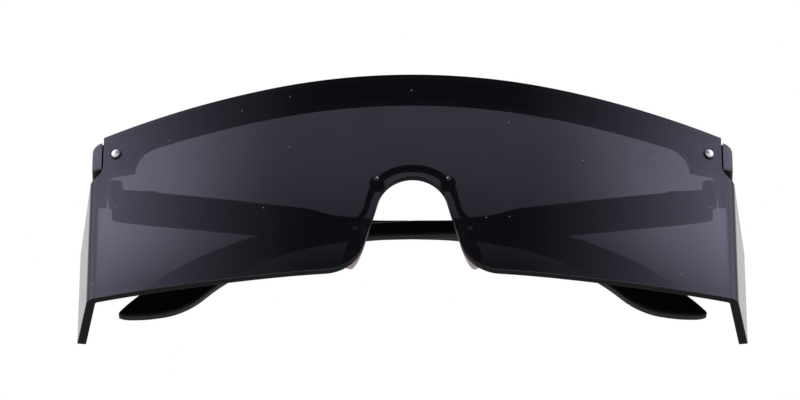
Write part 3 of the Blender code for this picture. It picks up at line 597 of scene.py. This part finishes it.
nosePlace = {side: onLens(noseScrewHalf, noseScrewHeight, side) for side in (1, -1)}


def rod(name, radius, low, high, place, steps=40):
    return turned(name, [(0, high), (radius, high), (radius, low), (0, low)], place, steps)


def smokeLens():
    material, nodes, links, shader = newMaterial("smokeLens")
    coords = objectCoords(nodes)
    split = nodes.new("ShaderNodeSeparateXYZ")
    links.new(coords, split.inputs[0])
    fromMiddle = maths(nodes, links, "ABSOLUTE", split.outputs[0])
    share = mapped(nodes, links, fromMiddle, *lens["tintBand"], 0, 1, smooth=True)
    # Painted light: the sheet passes more light at its sides than in the middle
    tintWithPaintedLight = mixColours(nodes, links, share, lens["tintCentre"], lens["tintSidePaintedLight"])
    # Painted shade: less light passes near the lower edge and where the sheet folds back
    high = mapped(nodes, links, share, 0, 1, *lens["fadeHigh"])
    above = maths(nodes, links, "SUBTRACT", split.outputs[2], lens["fadeLow"])
    reach = maths(nodes, links, "SUBTRACT", high, lens["fadeLow"])
    rise = maths(nodes, links, "DIVIDE", above, reach)
    missing = mapped(nodes, links, rise, 0, 1, 1, 0)
    clear = maths(nodes, links, "SUBTRACT", 1, maths(nodes, links, "POWER", missing, lens["fadePower"]))
    clear = mapped(nodes, links, clear, 0, 1, lens["lowShade"], 1)
    # Painted shade under the top edge: the bar stops short of it, and the light that would show there is
    # cut
    radius = lens["topRadius"]
    across = maths(nodes, links, "MULTIPLY", fromMiddle, fromMiddle)
    arched = maths(nodes, links, "SQRT", maths(nodes, links, "SUBTRACT", radius**2, across))
    topEdge = maths(nodes, links, "ADD", arched, lens["height"] - radius)
    under = maths(nodes, links, "SUBTRACT", topEdge, split.outputs[2])
    top = mapped(nodes, links, under, *lens["topBand"], lens["topShade"], 1)
    clear = maths(nodes, links, "MULTIPLY", clear, top)
    # Painted shade in the bend, where the sheet folds back
    bandStart, bandFull, bandLate, bandEnd = lens["bendBand"]
    inBend = maths(
        nodes, links, "MULTIPLY",
        mapped(nodes, links, fromMiddle, bandStart, bandFull, 0, 1, smooth=True),
        mapped(nodes, links, fromMiddle, bandLate, bandEnd, 1, 0, smooth=True),
    )
    bend = mapped(nodes, links, inBend, 0, 1, 1, lens["bendShade"])
    clear = maths(nodes, links, "MULTIPLY", clear, bend)
    # Cloudy patches, wiped smears and a few grains of dust
    patches = noiseOf(nodes, links, coords, *lens["cloudNoise"])
    cloud = mapped(nodes, links, patches, *lens["cloudBand"], *lens["cloudTone"])
    scaled = nodes.new("ShaderNodeVectorMath")
    scaled.operation = "SCALE"
    links.new(tintWithPaintedLight, scaled.inputs[0])
    links.new(maths(nodes, links, "MULTIPLY", cloud, clear), scaled.inputs["Scale"])
    links.new(scaled.outputs["Vector"], shader.inputs["Base Color"])
    smear = noiseOf(nodes, links, coords, *lens["smearNoise"], lens["smearStretch"])
    rough = mapped(nodes, links, smear, *lens["smearBand"], *lens["smearRough"])
    links.new(rough, shader.inputs["Roughness"])
    shader.inputs["Transmission Weight"].default_value = 1.0
    shader.inputs["IOR"].default_value = lens["ior"]
    dust = nodes.new("ShaderNodeTexVoronoi")
    dust.voronoi_dimensions = "2D"
    dust.inputs["Scale"].default_value = lens["dustScale"]
    flat = nodes.new("ShaderNodeCombineXYZ")
    links.new(split.outputs[0], flat.inputs[0])
    links.new(split.outputs[2], flat.inputs[1])
    links.new(flat.outputs[0], dust.inputs["Vector"])
    near = mapped(nodes, links, dust.outputs["Distance"], *lens["dustReach"], 1, 0)
    chosen = nodes.new("ShaderNodeSeparateColor")
    links.new(dust.outputs["Color"], chosen.inputs[0])
    rare = maths(nodes, links, "GREATER_THAN", chosen.outputs[0], lens["dustRarity"])
    spots = maths(nodes, links, "MULTIPLY", near, rare)
    grains = maths(nodes, links, "MULTIPLY", spots, lens["dustCover"])
    powder = nodes.new("ShaderNodeBsdfPrincipled")
    powder.inputs["Base Color"].default_value = (*lens["dustColour"], 1)
    powder.inputs["Roughness"].default_value = lens["dustRough"]
    both = nodes.new("ShaderNodeMixShader")
    links.new(grains, both.inputs[0])
    links.new(shader.outputs[0], both.inputs[1])
    links.new(powder.outputs[0], both.inputs[2])
    links.new(both.outputs[0], nodes["Material Output"].inputs["Surface"])
    return material


# The cut edges look almost black, because light would have to pass along the sheet
def cutEdge():
    material, nodes, links, shader = newMaterial("lensCutEdge")
    marks = noiseOf(nodes, links, objectCoords(nodes), *lens["edgeNoise"], lens["edgeStretch"])
    grained(nodes, links, shader, marks, lens["edgeColours"], lens["edgeBand"], lens["edgeRough"])
    shader.inputs["Specular IOR Level"].default_value = lens["edgeGloss"]
    return material


def makeLens():
    made = plate(
        "lensShield", lensOutline(), lens["thickness"], lens["rim"], 3, lensCuts(), lensSpot
    )
    gap, long = corner["gap"], lens["thickness"] * 2
    bores = []
    for side in (1, -1):
        bores.append(rod("cornerBore", corner["bushRadius"] + gap, -long, long, cornerPlace[side]))
        bores.append(rod("noseBore", noseScrew["shankRadius"] + gap, -long, long, nosePlace[side]))
    carve(made, bores)
    smoothShade(made, lens["smoothAngle"])
    finish(made, smokeLens(), "front", "smoke_lens", "lens_shield")
    made.data.materials.append(cutEdge())
    # a wide face looks along the sheet's thickness, a cut edge looks out of its outline
    for face in made.data.polygons:
        spot = face.center
        inNose = abs(spot.x) < lens["noseHalf"] and spot.z < lens["archHeight"] + lens["rim"]
        limit = lens["noseEdgeShare" if inNose else "edgeShare"]
        face.material_index = int(abs(face.normal.dot(sheetNormal(spot))) < limit)


makeLens()
print("lens ready")


# Finishes of the frame and the metal
moulded = {
    "broadNoise": (260, 5),
    "lighter": 1.5,               # the paler patches, times the colour
    "wearNoise": (900, 3),
    "wearBand": (0.30, 0.75),
    "wearRough": (-0.05, 0.07),   # added to the finish's own roughness
    "stippleNoise": (4200, 2),
    "stippleStrength": 0.05,
    "stippleDepth": 0.00002,
}
steel = {
    "grainNoise": (1800, 4),
    "stretch": (1, 1, 7),
    "darker": 0.72,               # the darker grain, times the colour
    "grainBand": (0.3, 0.7),
    "grainStrength": 0.10,
    "grainDepth": 0.00002,
}


def mouldedBlack(name, colour, rough, gloss):
    material, nodes, links, shader = newMaterial(name)
    shader.inputs["Specular IOR Level"].default_value = gloss
    coords = objectCoords(nodes)
    broad = noiseOf(nodes, links, coords, *moulded["broadNoise"])
    lighter = tuple(c * moulded["lighter"] for c in colour)
    links.new(mixColours(nodes, links, broad, colour, lighter), shader.inputs["Base Color"])
    wear = noiseOf(nodes, links, coords, *moulded["wearNoise"])
    low, high = [rough + change for change in moulded["wearRough"]]
    links.new(mapped(nodes, links, wear, *moulded["wearBand"], low, high), shader.inputs["Roughness"])
    stipple = noiseOf(nodes, links, coords, *moulded["stippleNoise"])
    addBump(nodes, links, shader, stipple, moulded["stippleStrength"], moulded["stippleDepth"])
    return material


def brushedSteel(name, colour, low, high):
    material, nodes, links, shader = newMaterial(name)
    grain = noiseOf(nodes, links, objectCoords(nodes), *steel["grainNoise"], steel["stretch"])
    darker = tuple(c * steel["darker"] for c in colour)
    grained(nodes, links, shader, grain, (colour, darker), steel["grainBand"], (low, high))
    shader.inputs["Metallic"].default_value = 1.0
    addBump(nodes, links, shader, grain, steel["grainStrength"], steel["grainDepth"])
    return material


frameBlack = mouldedBlack("frameBlack", (0.0045, 0.0045, 0.0050), rough=0.30, gloss=0.30)
templeBlack = mouldedBlack("templeBlack", (0.0020, 0.0020, 0.0022), rough=0.36, gloss=0.05)
# a paler copy of the black: painted light on the blocks' front ends
blockFacePaintedLit = mouldedBlack("blockFacePaintedLit", (0.060, 0.058, 0.068), rough=0.34, gloss=0.60)
bushBlack = mouldedBlack("bushBlack", (0.006, 0.005, 0.007), rough=0.14, gloss=0.50)
bridgeBlack = mouldedBlack("bridgeBlack", (0.005, 0.005, 0.006), rough=0.30, gloss=0.35)
# bright steel for the screws and nuts, also used as a painted glint on the nose screws' heads
polishedSteelAndGlint = brushedSteel("polishedSteelAndGlint", (0.86, 0.83, 0.81), low=0.22, high=0.36)
hingeSteel = brushedSteel("hingeSteel", (0.085, 0.085, 0.090), low=0.28, high=0.45)
noseSteel = brushedSteel("noseSteel", (0.055, 0.052, 0.055), low=0.16, high=0.30)


# The brow frame: bar behind the top of the lens, a plate at each corner, and the hinge blocks
brow = {
    "seat": 0.0002,         # gap behind the lens
    "depth": 0.0030,
    "height": 0.0055,
    "lowRadius": 0.320,
    "fillet": 0.0056,
    "plateWidth": 0.0098,
    "rim": 0.00035,
    "blockWidth": 0.0030,
    "padWidth": 0.0025,
    "blockLength": 0.0125,
    "blockSetBack": 0.0008,
    "blockLift": 0.0015,
    "blockTopDrop": 0.0024,
    "blockBottomDrop": 0.0029,
    "blockRim": ((0, 0.00032), (0.00010, 0.00010), (0.00034, 0)),  # from an end: distance, drawn in
    "shoulder": 0.0021,
    "shoulderFall": 0.0009,  # the shoulder is this much tighter at the rear end
    "insideRound": 0.0003,
    "underRound": 0.0006,
    "frontSlant": math.radians(19),
    "slantShares": ((0.24, 0.55), (0.5, 0.1)),  # share of the length back, share of the slant left
    "frontLift": 0.0011,    # the underside rises this much towards the front end
    "liftShare": 0.25,      # over this share of the length
    "frontReach": 0.0016,   # how far back the front end with painted light goes
    "frontFacing": 0.5,     # its faces look forwards by more than this
    "roomReach": 0.006,     # the room for the lens's corner goes this far inwards
    "roomRise": 1.2,        # and this high, times the lens's height
    "cutHalf": 0.068,
    "smoothAngle": math.radians(35),
}
blockOuter = notchHalf + brow["padWidth"]
blockLow = notchHeight + brow["blockLift"]
blockFront = frontSpot(turnAt(notchHalf))[1] + brow["blockSetBack"]


def browOutline():
    end = blockOuter - brow["seat"]
    plateInner = blockOuter - brow["plateWidth"]
    lowCentre = lens["height"] - brow["height"] - brow["lowRadius"]

    def lowEdge(x):
        return lowCentre + math.sqrt(brow["lowRadius"]**2 - x**2)

    fillet = brow["fillet"]
    bendX = plateInner - fillet
    low = [(x, lowEdge(x)) for x in spread(0, bendX, 24)]
    bend = arc(bendX, lowEdge(bendX) - fillet, fillet, math.pi / 2, 0, 12)
    top = [(x, topHeight(x) - brow["seat"]) for x in spread(end, 0, 34)]
    return mirrored(low[:-1] + bend + [(plateInner, blockLow), (end, blockLow)] + top)


def browSpot(across, depth, up):
    behind = lens["thickness"] + brow["seat"] + depth
    y = frontSpot(turnAt(abs(across), behind), behind)[1]
    return Vector((across, y, up))


def endBlock(side):
    inner = blockOuter - brow["blockWidth"]
    top = topHeight(blockOuter)
    length, rim = brow["blockLength"], brow["blockRim"]
    inside, under = brow["insideRound"], brow["underRound"]
    # distance back, how far the section is drawn in, and how slanted it still is
    stations = [(back, drawnIn, 1) for back, drawnIn in rim]
    stations += [(length * share, 0, slant) for share, slant in brow["slantShares"]]
    stations += [(length - back, drawnIn, 0) for back, drawnIn in reversed(rim)]
    rings = []
    for back, drawnIn, slant in stations:
        share = back / length
        lift = brow["frontLift"] * max(0, 1 - share / brow["liftShare"])
        low = blockLow - brow["blockBottomDrop"] * share + drawnIn + lift
        high = top - brow["blockTopDrop"] * share - drawnIn
        left, right = inner + drawnIn, blockOuter - drawnIn
        shoulder = brow["shoulder"] - brow["shoulderFall"] * share
        section = arc(left + inside, low + inside, inside, -math.pi / 2, -math.pi, 4)
        section += arc(left + inside, high - inside, inside, math.pi, math.pi / 2, 4)
        section += arc(right - shoulder, high - shoulder, shoulder, math.pi / 2, 0, 12)
        section += arc(right - under, low + under, under, 0, -math.pi / 2, 5)
        rings.append([
            (side * x, blockFront + back + (x - inner) * math.tan(brow["frontSlant"]) * slant, z)
            for x, z in section
        ])
    made = loft("endBlock", rings)
    # room for the lens's corner
    behind = lens["thickness"] + brow["seat"]
    edge = notchHalf + 2 * brow["seat"]
    start, end = turnAt(edge - brow["roomReach"], behind), turnAt(edge, behind)
    rear = [frontSpot(turn, behind) for turn in spread(start, end, 10)]
    outline = [(side * x, y) for x, y in rear]
    outline += [(side * edge, lensFrontY), (side * rear[0][0], lensFrontY)]
    tall = lens["height"] * brow["roomRise"]
    room = loft("lensRoom", [[(x, y, z) for x, y in outline] for z in (0, tall)])
    return carve(made, [room])


def makeBrow():
    cuts = [spot + cutShift for spot in spread(-brow["cutHalf"], brow["cutHalf"], 90)]
    made = plate("browFrame", browOutline(), brow["depth"], brow["rim"], 3, cuts, browSpot)
    carve(made, [endBlock(side) for side in (1, -1)], "UNION")
    long = lens["thickness"] + brow["seat"] + brow["depth"]
    carve(made, [
        rod("frameBore", corner["shankRadius"] + corner["gap"], -long * 2, 0, cornerPlace[side])
        for side in (1, -1)
    ])
    smoothShade(made, brow["smoothAngle"])
    finish(made, frameBlack, "front", "black_frame", "brow_frame")
    # painted light: the blocks' front ends, the only faces that stand clear of the lens, get a paler
    # black as if they catch the light
    made.data.materials.append(blockFacePaintedLit)
    for face in made.data.polygons:
        clear = abs(face.center.x) > notchHalf and face.center.y < blockFront + brow["frontReach"]
        face.material_index = int(clear and face.normal.y < -brow["frontFacing"])


makeBrow()
print("brow frame ready")


# Temples: flat arms with rounded rims, folded behind the lens
temple = {
    "thickness": 0.0030,
    "endRoom": 0.0068,    # a temple is this much shorter than the width between the creases
    "rootRise": 0.0026,
    "rootDrop": 0.0041,
    "rim": 0.0006,
    "lead": 0.00085,      # reaches this far forward of the hinge's axis
    "wall": 0.0018,       # from the hinge's axis out to the temple
    "cant": math.radians(0.78),
    "fold": math.radians(1.5),
    # share of the length from the hinge, then the upper and lower edge as shares of the length
    "edges": (
        (0.030, 0.0182, -0.0381),
        (0.155, 0.0048, -0.0518),
        (0.295, -0.0124, -0.0660),
        (0.326, -0.0168, -0.0655),
        (0.350, -0.0240, -0.0642),
        (0.375, -0.0300, -0.0632),
        (0.434, -0.0356, -0.0625),
        (0.505, -0.0365, -0.0642),
        (0.581, -0.0420, -0.0680),
        (0.678, -0.0520, -0.0845),
        (0.763, -0.0690, -0.1150),
        (0.826, -0.0930, -0.1560),
        (0.868, -0.1130, -0.1905),
        (0.903, -0.1345, -0.2080),
        (0.940, -0.1595, -0.2155),
        (0.970, -0.1845, -0.2175),
        (0.987, -0.2005, -0.2165),
        (0.996, -0.2105, -0.2135),
    ),
}
templeLength = 2 * lens["creaseHalf"] - temple["endRoom"]


def hingePlace(side):
    spot = jointSpot["temple_" + sideNames[side] + "_hinge"]
    return Matrix.Translation(spot) @ Matrix.Rotation(-temple["cant"], 4, "Y")


def templePlace(side):
    fold = temple["fold"] + side * math.pi / 2
    return hingePlace(side) @ Matrix.Rotation(fold, 4, "Z")


def templeOutline():
    rows = [[templeLength * share for share in row] for row in temple["edges"]]
    root = -temple["lead"]
    upper = smoothCurve([(root, temple["rootRise"])] + [(along, high) for along, high, low in rows], 6)
    lower = smoothCurve([(root, -temple["rootDrop"])] + [(along, low) for along, high, low in rows], 6)
    return upper + lower[::-1]


def makeTemple(side):
    place = templePlace(side)

    def spot(along, depth, up):
        return place @ Vector((side * (temple["wall"] + depth), along, up))

    name = sideNames[side]
    made = plate("temple_" + name, templeOutline(), temple["thickness"], temple["rim"], 4, [], spot)
    smoothShade(made)
    finish(made, templeBlack, "temple_" + name, "black_frame", "temple_" + name)


for side in (1, -1):
    makeTemple(side)
print("temples ready")


# Screws, bushes and cap nuts
def domed(radius, seat, height):
    # a shallow dome with a small turned edge, from its middle down to the seat
    edgeShare, domeShare = 0.3, 0.7
    bulge = [
        (radius * math.sin(turn), seat + height * (edgeShare + domeShare * math.cos(turn)))
        for turn in spread(0, math.pi / 2, 10)
    ]
    return bulge + [(radius, seat)]


def makeCornerHardware(side):
    name, place = sideNames[side], cornerPlace[side]
    gap = corner["gap"]
    flangeTop = gap + corner["flangeHeight"]
    seat = flangeTop - corner["sink"] + gap
    cup = corner["bushRadius"] - corner["cupWall"]
    nutTop = -(lens["thickness"] + brow["seat"] + brow["depth"]) - gap
    nutEnd = nutTop - corner["nutHeight"]
    shank = [(corner["shankRadius"], seat), (corner["shankRadius"], nutEnd), (0, nutEnd)]
    screw = turned(
        "cornerScrew_" + name, domed(cup - gap / 2, seat, corner["headHeight"]) + shank, place
    )
    smoothShade(screw)
    finish(screw, polishedSteelAndGlint, "front", "polished_steel", "corner_screw_" + name)
    bore, rim = corner["shankRadius"] + gap, corner["rim"]
    flange, low = corner["flangeRadius"], -lens["thickness"]
    bush = turned("cornerBush_" + name, [
        (cup, flangeTop), (flange - rim, flangeTop), (flange, flangeTop - rim), (flange, gap),
        (corner["bushRadius"], gap), (corner["bushRadius"], low), (bore, low), (bore, seat - gap),
        (cup, seat - gap), (cup, flangeTop),
    ], place)
    smoothShade(bush)
    finish(bush, bushBlack, "front", "black_bush", "corner_bush_" + name)
    nutRadius = corner["nutRadius"]
    nut = turned("cornerNut_" + name, [
        (bore, nutTop), (nutRadius, nutTop), (nutRadius, nutEnd + rim * 2),
        (nutRadius - rim, nutEnd + rim / 2), (nutRadius - rim * 2.5, nutEnd), (bore, nutEnd),
        (bore, nutTop),
    ], place)
    smoothShade(nut)
    finish(nut, polishedSteelAndGlint, "front", "polished_steel", "corner_nut_" + name)


def makeNoseScrew(side):
    seat = corner["gap"]
    radius, end, tip = noseScrew["shankRadius"], -noseScrew["length"], noseScrew["tip"]
    profile = domed(noseScrew["headRadius"], seat, noseScrew["headHeight"])
    profile += [(radius, seat), (radius, end + tip), (radius - tip, end), (0, end)]
    screw = turned("noseScrew_" + sideNames[side], profile, nosePlace[side], noseScrew["steps"])
    smoothShade(screw)
    finish(screw, noseSteel, "front", "polished_steel", "nose_screw_" + sideNames[side])
    # painted glint: the head's faces that look up, inwards and forwards get the bright steel
    screw.data.materials.append(polishedSteelAndGlint)
    up, inwards, forwards = noseScrew["glintFacing"]
    for face in screw.data.polygons:
        x, y, z = face.normal
        face.material_index = int(z > up and -side * x > inwards and -y > forwards)


for side in (1, -1):
    makeCornerHardware(side)
    makeNoseScrew(side)
print("screws ready")


# The nose bridge: one bent wire with an arch, a lug at each screw, and a pad box on each arm
bridge = {
    "wireRadius": 0.00080,
    "weld": 0.000001,       # the wire's end caps are welded on within this
    "armShare": 0.75,       # an arm is this much thinner than the arch
    "rise": 0.0038,
    "lugRadius": 0.0016,
    "lugThickness": 0.0017,
    "lugRim": 0.0002,
    "boxSize": (0.0019, 0.0026, 0.0026),
    "boxFront": 0.26,       # share of its width on the nose's side of the pad screw
    "boxRim": 0.00022,
    "boxWall": 0.0003,      # what the slot leaves at its side and over it
    "slotHalf": 0.0006,
    "padBore": 0.00038,
    "padBoreSteps": 24,
    # shares of the screws' half spacing and of the rise
    "arch": ((0.0, 1.0), (0.36, 0.92), (0.70, 0.61), (0.94, 0.16)),
    # shares of the way from the lug to the pad screw
    "arm": (
        (0.14, 0.07, 0.13),
        (0.31, 0.26, 0.38),
        (0.46, 0.54, 0.595),
        (0.664, 0.79, 0.69),
        (0.888, 0.91, 0.75),
        (1.02, 0.97, 0.86),
    ),
}
pad = {
    "lean": math.radians(17),
    "splay": math.radians(25),
    "halfWidth": 0.0034,
    "halfHeight": 0.0055,
    "thickness": 0.0024,
    "drop": 0.0028,
    "clearance": 0.0003,    # between the pad box and the pad
    # how far through the pad, the size of the oval there, and its size towards the blunt lower tip
    "stations": (
        (0.0, 0.84, 0.84),
        (0.05, 0.93, 0.93),
        (0.14, 0.985, 0.985),
        (0.28, 1.0, 1.0),
        (0.5, 0.99, 1.0),
        (0.66, 0.95, 0.99),
        (0.79, 0.87, 0.965),
        (0.89, 0.74, 0.92),
        (0.955, 0.56, 0.83),
        (0.99, 0.32, 0.66),
        (1.0, 0.10, 0.30),
    ),
    "cloudNoise": (700, 5),
    "cloudColours": ((0.35, 0.26, 0.25), (0.48, 0.38, 0.36)),
    "filmNoise": (2200, 4),
    "filmBand": (0.3, 0.7),
    "filmRough": (0.22, 0.42),
    "filmStrength": 0.15,
    "filmDepth": 0.00004,
    "clear": 0.12,          # share of the light that passes through
    "ior": 1.41,
}
padFace = bridge["boxSize"][0] * bridge["boxFront"] + pad["clearance"]


def padPlace(side):
    spot = jointSpot["pad_" + sideNames[side] + "_rock"]
    turn = Matrix.Rotation(-side * pad["splay"], 4, "Z") @ Matrix.Rotation(-side * pad["lean"], 4, "Y")
    return Matrix.Translation(spot) @ turn


def bridgeRoute():
    depth = lens["thickness"] + brow["seat"] + bridge["lugThickness"] / 2
    lug = Vector((noseScrewHalf, frontSpot(turnAt(noseScrewHalf))[1] + depth, noseScrewHeight))
    pivot = jointSpot["pad_left_rock"]
    arch = [(lug.x * across, lug.y, lug.z + bridge["rise"] * rise) for across, rise in bridge["arch"]]
    arm = [
        tuple(start + (end - start) * share for start, end, share in zip(lug, pivot, shares))
        for shares in bridge["arm"]
    ]
    return arch + arm


def makeBridge():
    curve = bpy.data.curves.new("bridgeWire", "CURVE")
    curve.dimensions = "3D"
    curve.bevel_depth = bridge["wireRadius"]
    curve.bevel_resolution = 6
    curve.use_fill_caps = True
    curve.resolution_u = 10
    line = curve.splines.new("BEZIER")
    left = bridgeRoute()
    route = [(-x, y, z) for x, y, z in left[:0:-1]] + left
    line.bezier_points.add(len(route) - 1)
    for i, (point, spot) in enumerate(zip(line.bezier_points, route)):
        point.co = spot
        point.handle_left_type = "AUTO"
        point.handle_right_type = "AUTO"
        fromMiddle = abs(i - len(left) + 1)
        point.radius = bridge["armShare"] if fromMiddle > len(bridge["arch"]) else 1.0
    made = bpy.data.objects.new("noseBridge", curve)
    bpy.context.scene.collection.objects.link(made)
    bpy.context.view_layer.update()
    mesh = bpy.data.meshes.new_from_object(made.evaluated_get(bpy.context.evaluated_depsgraph_get()))
    bpy.data.objects.remove(made, do_unlink=True)
    work = bmesh.new()
    work.from_mesh(mesh)
    bmesh.ops.remove_doubles(work, verts=work.verts, dist=bridge["weld"])
    made = meshObject("noseBridge", work)
    adds, cuts = [], []
    wide, deep, tall = bridge["boxSize"]
    front, wall, slotHalf = wide * bridge["boxFront"], bridge["boxWall"], bridge["slotHalf"]
    rim, radius = bridge["lugRim"], bridge["lugRadius"]
    lugFront = -(lens["thickness"] + brow["seat"])
    lugBack = lugFront - bridge["lugThickness"]
    bore, boreEnd = noseScrew["shankRadius"] + corner["gap"], -noseScrew["length"] - corner["gap"]
    boreSteps, padBoreSteps = noseScrew["steps"], bridge["padBoreSteps"]
    for side in (1, -1):
        adds.append(turned("lug", [
            (0, lugFront), (radius - rim, lugFront), (radius, lugFront - rim),
            (radius, lugBack + rim), (radius - rim, lugBack), (0, lugBack),
        ], nosePlace[side]))
        cuts.append(rod("lugBore", bore, boreEnd, -lens["thickness"], nosePlace[side], boreSteps))
        place = padPlace(side)
        adds.append(block(
            "padBox", (-side * front, -deep / 2, -tall / 2), (side * (wide - front), deep / 2, tall / 2),
            bridge["boxRim"], place,
        ))
        cuts.append(block(
            "padSlot", (-side * wide, -slotHalf, -tall),
            (side * (wide - front - wall), slotHalf, tall / 2 - wall), 0, place,
        ))
        sideways = place @ Matrix.Rotation(math.pi / 2, 4, "X")
        cuts.append(rod("padBore", bridge["padBore"], -deep, deep, sideways, padBoreSteps))
    carve(made, adds, "UNION")
    carve(made, cuts)
    smoothShade(made)
    finish(made, bridgeBlack, "front", "black_bridge", "nose_bridge")


makeBridge()
print("nose bridge ready")


# Nose pads: soft clear silicone over the dark core that the pad screw holds
def siliconePad():
    material, nodes, links, shader = newMaterial("siliconePad")
    coords = objectCoords(nodes)
    cloud = noiseOf(nodes, links, coords, *pad["cloudNoise"])
    links.new(mixColours(nodes, links, cloud, *pad["cloudColours"]), shader.inputs["Base Color"])
    film = noiseOf(nodes, links, coords, *pad["filmNoise"])
    links.new(mapped(nodes, links, film, *pad["filmBand"], *pad["filmRough"]), shader.inputs["Roughness"])
    shader.inputs["Transmission Weight"].default_value = pad["clear"]
    shader.inputs["IOR"].default_value = pad["ior"]
    addBump(nodes, links, shader, film, pad["filmStrength"], pad["filmDepth"])
    return material


core = {
    "noise": (1500, 4),
    "colours": ((0.020, 0.020, 0.021), (0.045, 0.044, 0.046)),
    "band": (0.3, 0.7),
    "rough": (0.30, 0.45),
}


def padCore():
    material, nodes, links, shader = newMaterial("padCore")
    grain = noiseOf(nodes, links, objectCoords(nodes), *core["noise"])
    grained(nodes, links, shader, grain, core["colours"], core["band"], core["rough"])
    return material


clearPad = siliconePad()
darkCore = padCore()


def makePad(side):
    name, place = sideNames[side], padPlace(side)
    rings = []
    for through, size, lowSize in pad["stations"]:
        x = -side * (padFace + pad["thickness"] * through)
        ring = []
        for turn in spread(0, math.tau, 44)[:-1]:
            here = size + (lowSize - size) * max(-math.sin(turn), 0)
            y = pad["halfWidth"] * here * math.cos(turn)
            z = pad["halfHeight"] * here * math.sin(turn) - pad["drop"]
            ring.append(place @ Vector((x, y, z)))
        rings.append(ring)
    made = loft("nosePad_" + name, rings)
    smoothShade(made)
    finish(made, clearPad, "pad_" + name, "clear_pad", "nose_pad_" + name)


for side in (1, -1):
    makePad(side)
print("nose pads ready")


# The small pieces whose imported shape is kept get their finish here
def dress(node, material):
    mesh = frame["nodes"][node].data
    mesh.materials.clear()
    mesh.materials.append(material)


for side in (1, -1):
    name = sideNames[side]
    dress("hinge_front_" + name, hingeSteel)
    dress("hinge_temple_" + name, hingeSteel)
    dress("hinge_screw_" + name, polishedSteelAndGlint)
    dress("pad_core_" + name, darkCore)
    dress("pad_screw_" + name, polishedSteelAndGlint)
print("kept pieces dressed")
